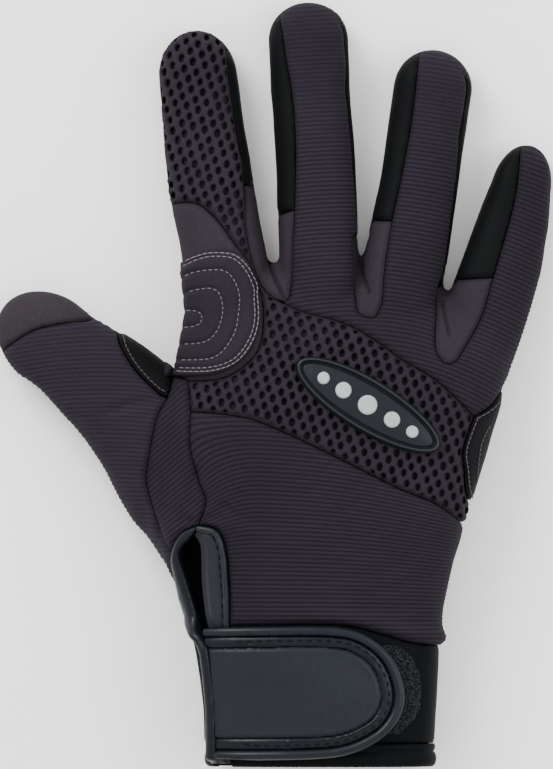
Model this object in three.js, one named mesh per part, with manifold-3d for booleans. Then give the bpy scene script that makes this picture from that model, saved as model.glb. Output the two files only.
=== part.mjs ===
// Full-finger climbing glove for the right hand, lying palm down, in millimetres.
// X runs across the hand to the little finger, Y from the cuff to the fingertips, Z up from the palm.
import * as THREE from "three";
import { mergeVertices } from "three/addons/utils/BufferGeometryUtils.js";
import Module from "manifold-3d";

const wasm = await Module();
wasm.setup();

// Driving sizes of the hand
const palmWidth = 101;
const handLength = 150;
const palmHeight = 34;
const cuffLength = 40;
const flatDepth = 1.4;

// Walls, layers and clearances
const wall = 1.6;
const seamGap = 0.36;
const layerGap = 0.3;
const padThickness = 2.2;
const badgeThickness = 1.2;
const badgeRimRise = 0.7;
const bindingRise = 1.0;
const hemRise = 0.8;
const loopThickness = 1.2;
const strapThickness = 1.7;
const pipingRise = 1.0;
const panelThickness = 0.9;

// Heights of the seams that run level round the sides
const palmSeamHeight = 8.6;
const sideSeamHeight = 12.6;
const slitSideHeight = 15;

// Fingers: root as shares of the palm's width and the hand's length, lean in degrees to the right
const fingers = {
  index: { across: -0.190, along: 0.901, lean: -8.4, length: 94, width: 26, height: 22, tipRound: 12 },
  middle: { across: 0.067, along: 0.901, lean: -3.1, length: 102, width: 25, height: 22, tipRound: 12 },
  ring: { across: 0.285, along: 0.881, lean: 8.7, length: 91, width: 25, height: 21, tipRound: 11.5 },
  little: { across: 0.522, along: 0.819, lean: 12.7, length: 72, width: 24, height: 19, tipRound: 9.5 },
  thumb: { across: -0.323, along: 0.643, lean: -50.2, length: 75, width: 30, height: 23, tipRound: 13 },
};

// Finger sections: along in shares of the length, left and right of half the width, height of the height
const fingerSections = {
  index: [
    { along: -0.10, left: 1.18, right: 1.05, height: 1.10 },
    { along: 0.10, left: 1.10, right: 1.00, height: 1.10 },
    { along: 0.22, left: 1.08, right: 0.95, height: 1.06 },
    { along: 0.32, left: 1.04, right: 0.92, height: 1.00 },
    { along: 0.50, left: 1.17, right: 0.87, height: 0.94 },
    { along: 0.70, left: 1.12, right: 0.85, height: 0.88 },
  ],
  middle: [
    { along: -0.10, left: 0.95, right: 1.00, height: 1.12 },
    { along: 0.14, left: 0.96, right: 1.00, height: 1.08 },
    { along: 0.30, left: 0.94, right: 1.01, height: 1.02 },
    { along: 0.50, left: 0.90, right: 1.08, height: 0.95 },
    { along: 0.72, left: 0.93, right: 1.04, height: 0.87 },
  ],
  ring: [
    { along: -0.10, left: 0.98, right: 1.02, height: 1.12 },
    { along: 0.14, left: 1.02, right: 1.04, height: 1.08 },
    { along: 0.30, left: 0.99, right: 1.06, height: 1.02 },
    { along: 0.50, left: 0.90, right: 1.03, height: 0.95 },
    { along: 0.72, left: 0.91, right: 1.04, height: 0.87 },
  ],
  little: [
    { along: -0.12, left: 0.85, right: 0.90, height: 1.14 },
    { along: 0.12, left: 0.98, right: 1.08, height: 1.10 },
    { along: 0.30, left: 0.97, right: 1.20, height: 1.03 },
    { along: 0.50, left: 0.79, right: 1.27, height: 0.96 },
    { along: 0.70, left: 0.62, right: 1.18, height: 0.88 },
  ],
  thumb: [
    { along: -0.20, left: 2.10, right: 0.70, height: 1.26 },
    { along: 0.02, left: 1.84, right: 0.90, height: 1.20 },
    { along: 0.18, left: 1.53, right: 1.02, height: 1.12 },
    { along: 0.30, left: 1.25, right: 1.05, height: 1.05 },
    { along: 0.50, left: 1.09, right: 1.03, height: 0.98 },
    { along: 0.68, left: 0.94, right: 0.86, height: 0.90 },
    { along: 0.82, left: 1.02, right: 0.94, height: 0.88 },
  ],
};

// Hand sections: along in shares of the length, left and right of the palm's width, height of its height
const handSections = [
  { along: 0.00, left: -0.295, right: 0.411, height: 0.86, slope: 0 },
  { along: 0.26, left: -0.330, right: 0.430, height: 0.90, slope: 0 },
  { along: 0.33, left: -0.348, right: 0.434, height: 0.93, slope: 0 },
  { along: 0.42, left: -0.412, right: 0.466, height: 0.97, slope: 0 },
  { along: 0.50, left: -0.455, right: 0.503, height: 1.00, slope: 0 },
  { along: 0.60, left: -0.462, right: 0.545, height: 1.00, slope: 0 },
  { along: 0.70, left: -0.437, right: 0.590, height: 0.98, slope: 0 },
  { along: 0.79, left: -0.378, right: 0.625, height: 0.95, slope: -0.05 },
  { along: 0.88, left: -0.350, right: 0.640, height: 0.87, slope: -0.10 },
  { along: 0.95, left: -0.330, right: 0.620, height: 0.75, slope: -0.15 },
  { along: 1.00, left: -0.310, right: 0.570, height: 0.58, slope: -0.18 },
  { along: 1.03, left: -0.270, right: 0.520, height: 0.38, slope: -0.18 },
];

// Section form: points round a section, how square it is, and the share of its height where it is widest
const fingerSides = 10;
const handSides = 16;
const tipRings = 3;
const fingerSquareness = 2.3;
const handSquareness = 2.7;
const widestShare = 0.42;
const openEndReach = 12;
const tallest = 80;

// Places on the back: by shares of the hand, or of one finger
const onHand = ([across, along]) => new THREE.Vector2(across * palmWidth, along * handLength);

function onFinger(name, along, side) {
  const finger = fingers[name];
  const lean = THREE.MathUtils.degToRad(finger.lean);
  const reach = along * finger.length;
  const offset = (side * finger.width) / 2;
  return new THREE.Vector2(
    finger.across * palmWidth + reach * Math.sin(lean) + offset * Math.cos(lean),
    finger.along * handLength + reach * Math.cos(lean) - offset * Math.sin(lean),
  );
}

const handLine = (points) => points.map(onHand);
const fingerLine = (name, points) => points.map(([along, side]) => onFinger(name, along, side));

// A smooth line through a few chosen points
function smooth(points, stepsPerSpan = 2) {
  return new THREE.SplineCurve(points).getPoints((points.length - 1) * stepsPerSpan);
}

const reversed = (line) => [...line].reverse();
const last = (line) => line[line.length - 1];

// Solids from closed geometries, and geometries from solids
function solidFrom(geometry) {
  const bare = new THREE.BufferGeometry();
  const source = geometry.index ? geometry.toNonIndexed() : geometry;
  bare.setAttribute("position", source.getAttribute("position"));
  const merged = mergeVertices(bare, 1e-4);
  return new wasm.Manifold(
    new wasm.Mesh({
      numProp: 3,
      vertProperties: merged.getAttribute("position").array,
      triVerts: new Uint32Array(merged.index.array),
    }),
  );
}

function geometryFrom(solid) {
  const mesh = solid.getMesh();
  const geometry = new THREE.BufferGeometry();
  geometry.setAttribute("position", new THREE.BufferAttribute(mesh.vertProperties, 3));
  geometry.setIndex(new THREE.BufferAttribute(mesh.triVerts, 1));
  return geometry;
}

function joined(solids) {
  return solids.reduce((sum, solid) => sum.add(solid));
}

// A closed solid through rings of points, with a point in the middle of each end
function loft(rings) {
  const sides = rings[0].length;
  const middle = (ring) =>
    ring.reduce((sum, point) => sum.add(point), new THREE.Vector3()).divideScalar(sides);
  const points = [...rings.flat(), middle(rings[0]), middle(last(rings))];
  const startMiddle = rings.length * sides;
  const endMiddle = startMiddle + 1;
  const faces = [];
  for (let r = 0; r + 1 < rings.length; r += 1) {
    for (let i = 0; i < sides; i += 1) {
      const a = r * sides + i;
      const b = r * sides + ((i + 1) % sides);
      faces.push(a, b + sides, b, a, a + sides, b + sides);
    }
  }
  const lastRing = (rings.length - 1) * sides;
  for (let i = 0; i < sides; i += 1) {
    const next = (i + 1) % sides;
    faces.push(startMiddle, i, next);
    faces.push(endMiddle, lastRing + next, lastRing + i);
  }
  const geometry = new THREE.BufferGeometry().setFromPoints(points);
  geometry.setIndex(faces);
  return solidFrom(geometry);
}

// An upright prism over an outline, which may touch or cross itself at other sizes
function prism(outline, low = -tallest, high = tallest) {
  const flat = new wasm.CrossSection([outline.map(({ x, y }) => [x, y])], "NonZero");
  return flat.extrude(high - low).translate([0, 0, low]);
}

// A thin upright wall along a line, which parts two panels or sinks a groove
function ribbon(line, width, low = -tallest, high = tallest) {
  const edge = (side) =>
    line.map((point, i) => {
      const before = line[Math.max(i - 1, 0)];
      const after = line[Math.min(i + 1, line.length - 1)];
      const along = after.clone().sub(before).normalize();
      return new THREE.Vector2(
        point.x - (along.y * side * width) / 2,
        point.y + (along.x * side * width) / 2,
      );
    });
  return prism([...edge(1), ...reversed(edge(-1))], low, high);
}

function levelSlab(low, high) {
  const box = new THREE.BoxGeometry(8 * palmWidth, 8 * handLength, high - low);
  box.translate(0, 0, (low + high) / 2);
  return solidFrom(box);
}

// One section's points: left, right and height in mm, widest a little under its middle, flat underneath
function section(place, left, right, height, grow, sides, squareness) {
  const level = height * widestShare;
  const points = [];
  for (let i = 0; i < sides; i += 1) {
    const angle = (2 * Math.PI * (i + 0.5)) / sides;
    const power = 2 / squareness;
    const c = Math.sign(Math.cos(angle)) * Math.abs(Math.cos(angle)) ** power;
    const s = Math.sign(Math.sin(angle)) * Math.abs(Math.sin(angle)) ** power;
    const half = (c > 0 ? right : left) + grow;
    const rise = (s > 0 ? height - level : level + flatDepth) + grow;
    points.push(place(c * half, level + s * rise));
  }
  return points;
}

// The hand's rings, grown by a distance; an open end reaches past the cuff
function handRings(grow, open) {
  const rings = handSections.map((row, i) => {
    const reach = (i === 0 && open ? -openEndReach : row.along * handLength) +
      (i === handSections.length - 1 ? grow : 0);
    const centre = ((row.left + row.right) / 2) * palmWidth;
    const half = ((row.right - row.left) / 2) * palmWidth;
    const place = (x, z) =>
      new THREE.Vector3(centre + x, reach + row.slope * (centre + x), z);
    return section(place, half, half, row.height * palmHeight, grow, handSides, handSquareness);
  });
  return rings;
}

// A finger's rings: its table up to the tip, then a round cap
function fingerRings(name, grow) {
  const finger = fingers[name];
  const rows = fingerSections[name];
  const ringAt = (reach, row, scale) => {
    const place = (x, z) => {
      const flat = onFinger(name, reach / finger.length, x / (finger.width / 2));
      return new THREE.Vector3(flat.x, flat.y, z);
    };
    const half = finger.width / 2;
    const height = row.height * finger.height;
    const level = height * widestShare;
    const left = row.left * half;
    const right = row.right * half;
    const middle = place((right - left) / 2, level);
    return section(place, left, right, height, grow, fingerSides, fingerSquareness).map((point) =>
      point.sub(middle).multiplyScalar(scale).add(middle),
    );
  };
  const rings = rows.map((row) => ringAt(row.along * finger.length, row, 1));
  const tipRow = last(rows);
  const capStart = finger.length - finger.tipRound;
  for (let i = 0; i <= tipRings; i += 1) {
    const angle = (i / (tipRings + 0.6)) * (Math.PI / 2);
    const reach = capStart + (finger.tipRound + grow) * Math.sin(angle);
    rings.push(ringAt(reach, tipRow, Math.cos(angle)));
  }
  return rings;
}

// The whole hand's outer form, grown by a distance, standing flat on the floor
const handForms = new Map();
function handForm(grow, open) {
  const key = grow + (open ? " open" : "");
  if (!handForms.has(key)) {
    const solids = [loft(handRings(grow, open))];
    Object.keys(fingers).forEach((name) => solids.push(loft(fingerRings(name, grow))));
    handForms.set(key, joined(solids).subtract(levelSlab(-tallest, Math.max(0, -grow))));
  }
  return handForms.get(key);
}

// A layer that follows the hand's form between two distances from it
const layer = (inside, outside) => handForm(outside, false).subtract(handForm(inside, true));

// Seams on the fingers' backs, from the crotch to past the tip: along and side in shares of the finger
const indexSeam = smooth(
  fingerLine("index", [
    [0.14, 0.73],
    [0.23, 0.61],
    [0.34, 0.59],
    [0.47, 0.70],
    [0.75, 0.70],
    [0.92, 0.74],
    [1.20, 0.90],
  ]),
);
const middleSeam = smooth(
  fingerLine("middle", [
    [0.11, -0.74],
    [0.28, -0.62],
    [0.37, -0.54],
    [0.58, -0.41],
    [0.73, -0.44],
    [0.86, -0.56],
    [1.20, -0.85],
  ]),
);
const ringSeam = smooth(
  fingerLine("ring", [
    [0.12, -0.41],
    [0.25, -0.49],
    [0.40, -0.47],
    [0.57, -0.40],
    [0.80, -0.38],
    [1.20, -0.50],
  ]),
);
const littleSeam = smooth(
  fingerLine("little", [
    [0.07, -0.30],
    [0.23, -0.02],
    [0.41, 0.06],
    [0.67, 0.16],
    [0.85, 0.13],
    [1.20, -0.20],
  ]),
);

// Bottoms of the three crotch gussets, between the seams above and the backs' right sides
const indexGussetEnd = [
  indexSeam[0],
  ...handLine([
    [-0.101, 0.982],
    [-0.077, 0.969],
    [-0.046, 0.963],
  ]),
  middleSeam[0],
];
const ringGussetEnd = smooth([
  ...fingerLine("middle", [
    [0.28, 0.92],
    [0.19, 0.90],
    [0.09, 0.89],
  ]),
  ...handLine([
    [0.182, 0.941],
    [0.215, 0.929],
  ]),
  ringSeam[0],
]);
const littleGussetEnd = smooth([
  ...fingerLine("ring", [
    [0.20, 0.97],
    [0.12, 0.98],
  ]),
  ...handLine([
    [0.417, 0.868],
    [0.443, 0.836],
    [0.476, 0.836],
  ]),
  littleSeam[0],
]);

// Where the black strips end and the gussets begin
const indexGussetTop = [
  onFinger("index", 0.47, 0.70),
  onFinger("index", 0.46, 1.20),
  onFinger("middle", 0.35, -1.20),
  onFinger("middle", 0.37, -0.54),
];
const ringGussetTop = [
  onFinger("middle", 0.28, 0.92),
  onFinger("middle", 0.28, 1.25),
  onFinger("ring", 0.39, -1.25),
  onFinger("ring", 0.40, -0.47),
];
const littleGussetTop = [
  onFinger("ring", 0.20, 0.97),
  onFinger("little", 0.37, -0.85),
  onFinger("little", 0.41, 0.06),
];

// Seams on the back of the hand: across and along in shares of the palm's width and the hand's length
const meshTop = smooth([
  indexGussetEnd[2],
  ...handLine([
    [0.009, 0.942],
    [0.135, 0.918],
    [0.236, 0.880],
    [0.316, 0.841],
    [0.424, 0.796],
    [0.537, 0.723],
  ]),
]);
const meshBottom = smooth(
  handLine([
    [-0.337, 0.734],
    [-0.178, 0.723],
    [-0.077, 0.699],
    [0.077, 0.651],
    [0.295, 0.577],
    [0.427, 0.539],
    [0.560, 0.470],
  ]),
);
const sidePatchEdge = smooth([
  last(meshTop),
  ...handLine([
    [0.503, 0.657],
    [0.506, 0.616],
    [0.522, 0.550],
    [0.600, 0.500],
  ]),
]);
const sidePatchTop = smooth([
  last(meshTop),
  ...handLine([
    [0.589, 0.746],
    [0.660, 0.805],
    [0.760, 0.850],
  ]),
]);
const sidePanelEdge = smooth([
  onFinger("index", 0.44, -1.60),
  onFinger("index", 0.44, -0.67),
  ...handLine([
    [-0.265, 1.137],
    [-0.203, 1.085],
    [-0.153, 1.040],
    [-0.121, 0.985],
    [-0.112, 0.930],
    [-0.123, 0.870],
    [-0.165, 0.832],
    [-0.240, 0.803],
    [-0.345, 0.797],
  ]),
]);
const sidePanelFoot = [last(sidePanelEdge), ...handLine([[-0.388, 0.812], [-0.430, 0.900]])];
const stripLeft = smooth(
  handLine([
    [-0.388, 0.807],
    [-0.405, 0.765],
    [-0.439, 0.721],
    [-0.463, 0.643],
    [-0.475, 0.589],
    [-0.453, 0.530],
    [-0.416, 0.467],
    [-0.389, 0.436],
  ]),
);
const stripRight = smooth([
  last(sidePanelEdge),
  meshBottom[0],
  ...handLine([
    [-0.337, 0.661],
    [-0.312, 0.590],
    [-0.289, 0.548],
    [-0.312, 0.500],
  ]),
]);
const webPatchEdge = smooth(
  handLine([
    [-0.560, 0.930],
    [-0.549, 0.874],
    [-0.506, 0.823],
    [-0.439, 0.776],
    [-0.405, 0.765],
  ]),
);
const thumbTipEdge = smooth(
  fingerLine("thumb", [
    [0.90, -1.30],
    [0.88, -0.71],
    [0.84, -0.13],
    [0.75, 0.46],
    [0.69, 0.80],
    [0.68, 1.30],
  ]),
);
const thumbRootSeam = smooth(
  handLine([
    [-0.430, 0.900],
    [-0.370, 0.790],
    [-0.270, 0.690],
    [-0.260, 0.590],
    [-0.330, 0.500],
    [-0.520, 0.450],
  ]),
);

// The vent slit: its hole, and the outer edges of its two bindings, down to the hem
const hemEnd = -0.04;
const slitLeft = smooth(
  handLine([
    [-0.325, 0.478],
    [-0.362, 0.450],
    [-0.362, 0.420],
    [-0.332, 0.352],
    [-0.307, 0.300],
    [-0.296, 0.219],
    [-0.282, hemEnd],
  ]),
);
const slitRight = smooth(
  handLine([
    [-0.325, 0.478],
    [-0.300, 0.455],
    [-0.287, 0.393],
    [-0.267, 0.341],
    [-0.258, 0.289],
    [-0.258, hemEnd],
  ]),
);
const bindingLeft = smooth(
  handLine([
    [-0.312, 0.500],
    [-0.364, 0.482],
    [-0.389, 0.436],
    [-0.378, 0.385],
    [-0.345, 0.310],
    [-0.334, 0.219],
    [-0.322, hemEnd],
  ]),
);
const bindingRight = smooth(
  handLine([
    [-0.312, 0.500],
    [-0.255, 0.490],
    [-0.228, 0.452],
    [-0.218, 0.384],
    [-0.213, 0.300],
    [-0.212, hemEnd],
  ]),
);

const bindingDivide = handLine([
  [-0.302, 0.517],
  [-0.335, 0.461],
]);

// The cuff's top, level under the palm and stepped down to the right on the back
const cuffTopShare = cuffLength / handLength;
const cuffTop = smooth(
  handLine([
    [-0.800, cuffTopShare],
    [-0.345, cuffTopShare + 0.010],
    [-0.212, cuffTopShare + 0.022],
    [0.109, cuffTopShare + 0.028],
    [0.259, cuffTopShare + 0.008],
    [0.384, cuffTopShare - 0.012],
    [0.800, cuffTopShare - 0.040],
  ]),
);
const hemHeight = 7.2;
const hemLine = [new THREE.Vector2(-palmWidth, hemHeight), new THREE.Vector2(palmWidth, hemHeight)];

// Corners outside the glove, which close the outlines of the panels
const outside = {
  indexTip: [onFinger("index", 1.20, -1.60), onFinger("index", 0.44, -1.60)],
  leftOfPalm: handLine([[-0.430, 1.150]]),
  rightOfLittle: [onFinger("little", 1.20, 1.80), onFinger("little", 0.10, 1.60)],
  rightOfPalm: handLine([[0.760, 0.500]]),
  belowThumb: [...handLine([[-0.800, cuffTopShare]]), onFinger("thumb", 1.25, -2.0)],
  cuffCorners: handLine([[0.800, -0.100], [-0.800, -0.100]]),
};

// Cuts between the panels
const cuts = joined(
  [
    indexSeam,
    middleSeam,
    ringSeam,
    littleSeam,
    indexGussetEnd,
    ringGussetEnd,
    littleGussetEnd,
    indexGussetTop,
    ringGussetTop,
    littleGussetTop,
    meshTop,
    meshBottom,
    sidePatchEdge,
    sidePatchTop,
    sidePanelEdge,
    sidePanelFoot,
    stripLeft,
    stripRight,
    webPatchEdge,
    thumbTipEdge,
  ].map((line) => ribbon(line, seamGap)),
);
const cuffCut = ribbon(cuffTop, seamGap);
const hemCut = ribbon(hemLine, seamGap);
const cuffArea = prism([...cuffTop, ...outside.cuffCorners]);
const slitHole = prism([...slitLeft, ...reversed(slitRight)], slitSideHeight);
const slitArea = prism([...bindingLeft, ...reversed(bindingRight)], slitSideHeight);
const slitClearance = joined([
  slitArea,
  ribbon(bindingLeft, seamGap, slitSideHeight),
  ribbon(bindingRight, seamGap, slitSideHeight),
]);

const skin = layer(-wall, 0);
const handSkin = skin.subtract(cuffArea).subtract(cuffCut).subtract(slitClearance);
const backSkin = handSkin.subtract(cuts).intersect(levelSlab(palmSeamHeight + seamGap / 2, tallest));
const frontSkin = handSkin.intersect(levelSlab(-1, palmSeamHeight - seamGap / 2));
const backPanel = (outline) => backSkin.intersect(prism(outline));

// Strips on the far sides of the middle and ring fingers, under the edge of the ribbed back
function sideStripArea(name, start, spread) {
  const outline = [
    onFinger(name, start, 0.45 - spread),
    onFinger(name, 0.93 + spread / 10, 0.45 - spread),
    onFinger(name, 0.93 + spread / 10, 1.60),
    onFinger(name, start, 1.60),
  ];
  return prism(outline, 0, sideSeamHeight + spread * seamGap * 10 - seamGap / 2);
}

const stripSpread = 0.1;
const middleStripStart = 0.28;
const ringStripStart = 0.27;

function makeUpperBack() {
  const outline = [
    ...middleSeam,
    onFinger("middle", 1.20, 1.30),
    onFinger("middle", 0.28, 1.25),
    ...ringGussetEnd,
    ...ringSeam.slice(1),
    onFinger("ring", 1.20, 1.30),
    onFinger("ring", 0.40, 1.20),
    ...littleGussetEnd,
    ...littleSeam.slice(1),
    ...outside.rightOfLittle,
    ...reversed(sidePatchTop),
    ...reversed(meshTop).slice(1),
    indexGussetEnd[3],
  ];
  return backPanel(outline)
    .subtract(sideStripArea("middle", middleStripStart, stripSpread))
    .subtract(sideStripArea("ring", ringStripStart, stripSpread));
}

const makeSideStrip = (name, start) =>
  backSkin.intersect(sideStripArea(name, start, 0)).intersect(
    prism([
      onFinger(name, start, 0.3),
      onFinger(name, 1.2, 0.3),
      onFinger(name, 1.2, 1.3),
      onFinger(name, start, 1.3),
    ]),
  );

// Black strips between the fingers, from the seam on the back to the palm's seam.
// Each starts at the gusset's top, whose corners are given from the seam outwards.
function makeFourchette(name, seam, [start, corner], side) {
  const beyond = start.distanceTo(seam[0]) + seamGap / 10;
  const upper = seam.filter((point) => point.distanceTo(seam[0]) > beyond);
  const far = [onFinger(name, 1.20, 1.5 * side), onFinger(name, 0.60, 1.2 * side)];
  return backPanel([start, ...upper, ...far, corner]);
}

function makeGusset(seamLeft, seamRight, end, top, leftFromSeam) {
  const nearStart = (seam, stop) =>
    seam.filter((point) => point.distanceTo(seam[0]) < stop.distanceTo(seam[0]) - 0.01);
  const rightPart = nearStart(seamRight, last(top));
  const leftPart = leftFromSeam ? nearStart(seamLeft, top[0]) : [];
  return backPanel([...reversed(leftPart).slice(0, -1), ...end, ...rightPart.slice(1), ...reversed(top)]);
}

// Mesh: hexagonal holes in staggered rows, clear of its edges and of the badge
const badgeCentre = [0.207, 0.746];
const badgeLength = 51;
const badgeWidth = 16.4;
const badgeTilt = -31;
const badgeRimWidth = 1.6;
const meshPitch = 8.0;
const meshRowPitch = 6.4;
const meshHole = 3.2;
const meshMargin = 2.6;

function ellipse(centre, length, width, tilt, points = 20) {
  const curve = new THREE.EllipseCurve(
    centre.x,
    centre.y,
    length / 2,
    width / 2,
    0,
    2 * Math.PI,
    false,
    0,
  );
  const turn = THREE.MathUtils.degToRad(tilt);
  return curve.getPoints(points).slice(0, -1).map((point) => point.rotateAround(centre, turn));
}

function distanceToLine(point, line) {
  let nearest = Infinity;
  for (let i = 0; i + 1 < line.length; i += 1) {
    const segment = new THREE.Line3(
      new THREE.Vector3(line[i].x, line[i].y, 0),
      new THREE.Vector3(line[i + 1].x, line[i + 1].y, 0),
    );
    const spot = new THREE.Vector3(point.x, point.y, 0);
    const foot = segment.closestPointToPoint(spot, true, new THREE.Vector3());
    nearest = Math.min(nearest, foot.distanceTo(spot));
  }
  return nearest;
}

function isInside(point, outline) {
  let inside = false;
  outline.forEach((corner, i) => {
    const previous = outline[(i + outline.length - 1) % outline.length];
    const crosses = corner.y > point.y !== previous.y > point.y;
    const share = (point.y - corner.y) / (previous.y - corner.y);
    if (crosses && point.x < corner.x + share * (previous.x - corner.x)) inside = !inside;
  });
  return inside;
}

function makeMeshBack() {
  const outline = [
    ...reversed(indexSeam),
    ...indexGussetEnd.slice(1, 2),
    ...meshTop,
    ...sidePatchEdge.slice(1),
    ...reversed(meshBottom).slice(0, -1),
    ...reversed(stripRight.slice(0, 3)),
    ...reversed(sidePanelEdge).slice(1),
    outside.indexTip[0],
  ];
  const panel = backPanel(outline);
  const edges = [...outline, outline[0]];
  const badge = ellipse(
    onHand(badgeCentre),
    badgeLength + 2 * meshMargin,
    badgeWidth + 2 * meshMargin,
    badgeTilt,
  );
  const holes = [];
  const tilt = THREE.MathUtils.degToRad(badgeTilt / 3);
  const rows = Math.ceil((2 * handLength) / meshRowPitch);
  const columns = Math.ceil((2 * palmWidth) / meshPitch);
  const origin = onHand([0, 0.8]);
  for (let row = -rows; row <= rows; row += 1) {
    for (let column = -columns; column <= columns; column += 1) {
      const spot = new THREE.Vector2(
        (column + (row % 2 === 0 ? 0 : 0.5)) * meshPitch,
        row * meshRowPitch,
      );
      spot.rotateAround(new THREE.Vector2(), tilt).add(origin);
      const clear = isInside(spot, outline) &&
        !isInside(spot, badge) &&
        distanceToLine(spot, edges) > meshMargin &&
        !isPastEdge(spot);
      if (clear) holes.push(spot);
    }
  }
  return panel.subtract(
    joined(
      holes.map((spot) => {
        const cutter = new THREE.CylinderGeometry(meshHole / 2, meshHole / 2, tallest, 6);
        cutter.rotateX(Math.PI / 2);
        cutter.translate(spot.x, spot.y, tallest / 2 + palmSeamHeight + 4);
        return solidFrom(cutter);
      }),
    ),
  );
}

// Whether a spot lies past the index finger's left edge or its tip
function isPastEdge(spot) {
  const root = onFinger("index", 0, 0);
  const lean = THREE.MathUtils.degToRad(fingers.index.lean);
  const local = spot.clone().sub(root);
  const along = local.x * Math.sin(lean) + local.y * Math.cos(lean);
  const side = local.x * Math.cos(lean) - local.y * Math.sin(lean);
  const pastTip = along > fingers.index.length - meshMargin - 2;
  const pastSide = along > 0.4 * fingers.index.length && side < -0.85 * (fingers.index.width / 2);
  return pastTip || pastSide;
}

const makeIndexSidePanel = () =>
  backPanel([...sidePanelEdge, ...sidePanelFoot.slice(1), ...outside.leftOfPalm]);

// Padded patch over the index knuckle, with sunk arcs
const padSeat = layerGap;
const padTop = padSeat + padThickness;
const padOutline = smooth(
  handLine([
    [-0.420, 1.020],
    [-0.330, 1.050],
    [-0.240, 1.067],
    [-0.175, 1.052],
    [-0.137, 1.008],
    [-0.124, 0.950],
    [-0.130, 0.890],
    [-0.165, 0.845],
    [-0.240, 0.815],
    [-0.330, 0.812],
    [-0.420, 0.820],
  ]),
  1,
);
const padArcs = [
  { left: -0.380, top: 1.050, right: -0.143, bottom: 0.824 },
  { left: -0.380, top: 1.025, right: -0.184, bottom: 0.837 },
  { left: -0.380, top: 0.989, right: -0.231, bottom: 0.869 },
  { left: -0.380, top: 0.942, right: -0.290, bottom: 0.901 },
];
const arcBend = 0.45;
const arcGroove = 0.9;
const arcDepth = 0.9;

function makeKnucklePatch() {
  let patch = layer(padSeat, padTop)
    .intersect(prism(padOutline, palmSeamHeight + 4));
  padArcs.forEach((arc) => {
    const middle = (arc.top + arc.bottom) / 2;
    const bend = (arc.top - arc.bottom) * arcBend;
    const line = smooth(
      handLine([
        [arc.left - 0.06, arc.top],
        [arc.right - bend, arc.top],
        [arc.right, middle],
        [arc.right - bend, arc.bottom],
        [arc.left - 0.06, arc.bottom],
      ]),
    );
    patch = patch.subtract(
      layer(padTop - arcDepth, padTop + 2).intersect(ribbon(line, arcGroove)),
    );
  });
  return patch;
}

const makeLowerBack = () =>
  backPanel([
    ...meshBottom,
    ...outside.rightOfPalm,
    outside.cuffCorners[0],
    ...reversed(bindingRight),
    ...reversed(stripRight).slice(1, -3),
  ]);

const makeThumbStrip = () =>
  backPanel([
    ...stripLeft,
    ...reversed(bindingLeft.slice(0, 4)),
    ...reversed(stripRight),
    sidePanelFoot[1],
  ]);

const makeWebPatch = () =>
  backPanel([...webPatchEdge, ...reversed(stripLeft.slice(0, 3)), sidePanelFoot[2]]);

const makeThumbBack = () =>
  backPanel([
    ...webPatchEdge,
    ...stripLeft.slice(3),
    ...bindingLeft.slice(5),
    ...outside.belowThumb,
    ...thumbTipEdge,
  ]);

const thumbArea = prism([
  ...thumbRootSeam,
  onFinger("thumb", 0.2, -3.2),
  onFinger("thumb", 1.3, -2.2),
  onFinger("thumb", 1.3, 2.0),
  onFinger("thumb", 0.5, 2.0),
]);

function makeThumbFront() {
  const under = frontSkin.intersect(thumbArea).subtract(ribbon(thumbRootSeam, seamGap));
  const tip = handSkin
    .intersect(prism([...thumbTipEdge, onFinger("thumb", 1.3, 1.6), onFinger("thumb", 1.3, -1.6)]))
    .subtract(ribbon(thumbTipEdge, seamGap));
  return under.add(tip);
}

const makePalmPanel = () =>
  frontSkin.subtract(thumbArea).subtract(ribbon(thumbRootSeam, seamGap));

function makeSidePatch() {
  return backPanel([...reversed(sidePatchTop), ...sidePatchEdge.slice(1), ...outside.rightOfPalm]);
}

// Oval rubber badge with a raised rim and a plain row of dots
const badgeSeat = layerGap;
const badgeDots = [
  { place: -0.62, size: 0.26 },
  { place: -0.34, size: 0.34 },
  { place: 0, size: 0.42 },
  { place: 0.34, size: 0.34 },
  { place: 0.62, size: 0.26 },
];

function makeBadge() {
  const centre = onHand(badgeCentre);
  const face = badgeSeat + badgeThickness;
  const outer = ellipse(centre, badgeLength, badgeWidth, badgeTilt);
  const inner = ellipse(
    centre,
    badgeLength - 2 * badgeRimWidth,
    badgeWidth - 2 * badgeRimWidth,
    badgeTilt,
  );
  const rim = prism(outer, palmSeamHeight).subtract(prism(inner));
  const base = layer(badgeSeat, face).intersect(prism(outer, palmSeamHeight));
  const raised = layer(badgeSeat, face + badgeRimRise);
  const turn = THREE.MathUtils.degToRad(badgeTilt);
  const dots = badgeDots.map((dot) => {
    const spot = new THREE.Vector2((dot.place * badgeLength) / 2, 0)
      .rotateAround(new THREE.Vector2(), turn)
      .add(centre);
    const size = dot.size * badgeWidth;
    return prism(ellipse(spot, size, size, 0, 6), palmSeamHeight);
  });
  return joined([base, raised.intersect(rim), ...dots.map((dot) => raised.intersect(dot))]);
}

// Wrist: band, hem, bindings of the slit
const cuffSkin = skin.intersect(cuffArea).subtract(cuffCut).subtract(slitClearance);
const makeCuffBand = () =>
  cuffSkin
    .intersect(prism([...handLine([[-0.8, 0.5], [0.8, 0.5]]), ...reversed(hemLine)]))
    .subtract(hemCut);

function makeCuffHem() {
  const area = prism([...hemLine, ...outside.cuffCorners]);
  return layer(-wall, hemRise).intersect(area).subtract(hemCut).subtract(slitClearance);
}

function makeBinding(outer, inner) {
  const outline = [...outer, ...reversed(inner)];
  return layer(-wall, bindingRise)
    .intersect(prism(outline, slitSideHeight + seamGap))
    .subtract(ribbon(outer, seamGap))
    .subtract(slitHole)
    .subtract(ribbon(bindingDivide, seamGap));
}

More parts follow.
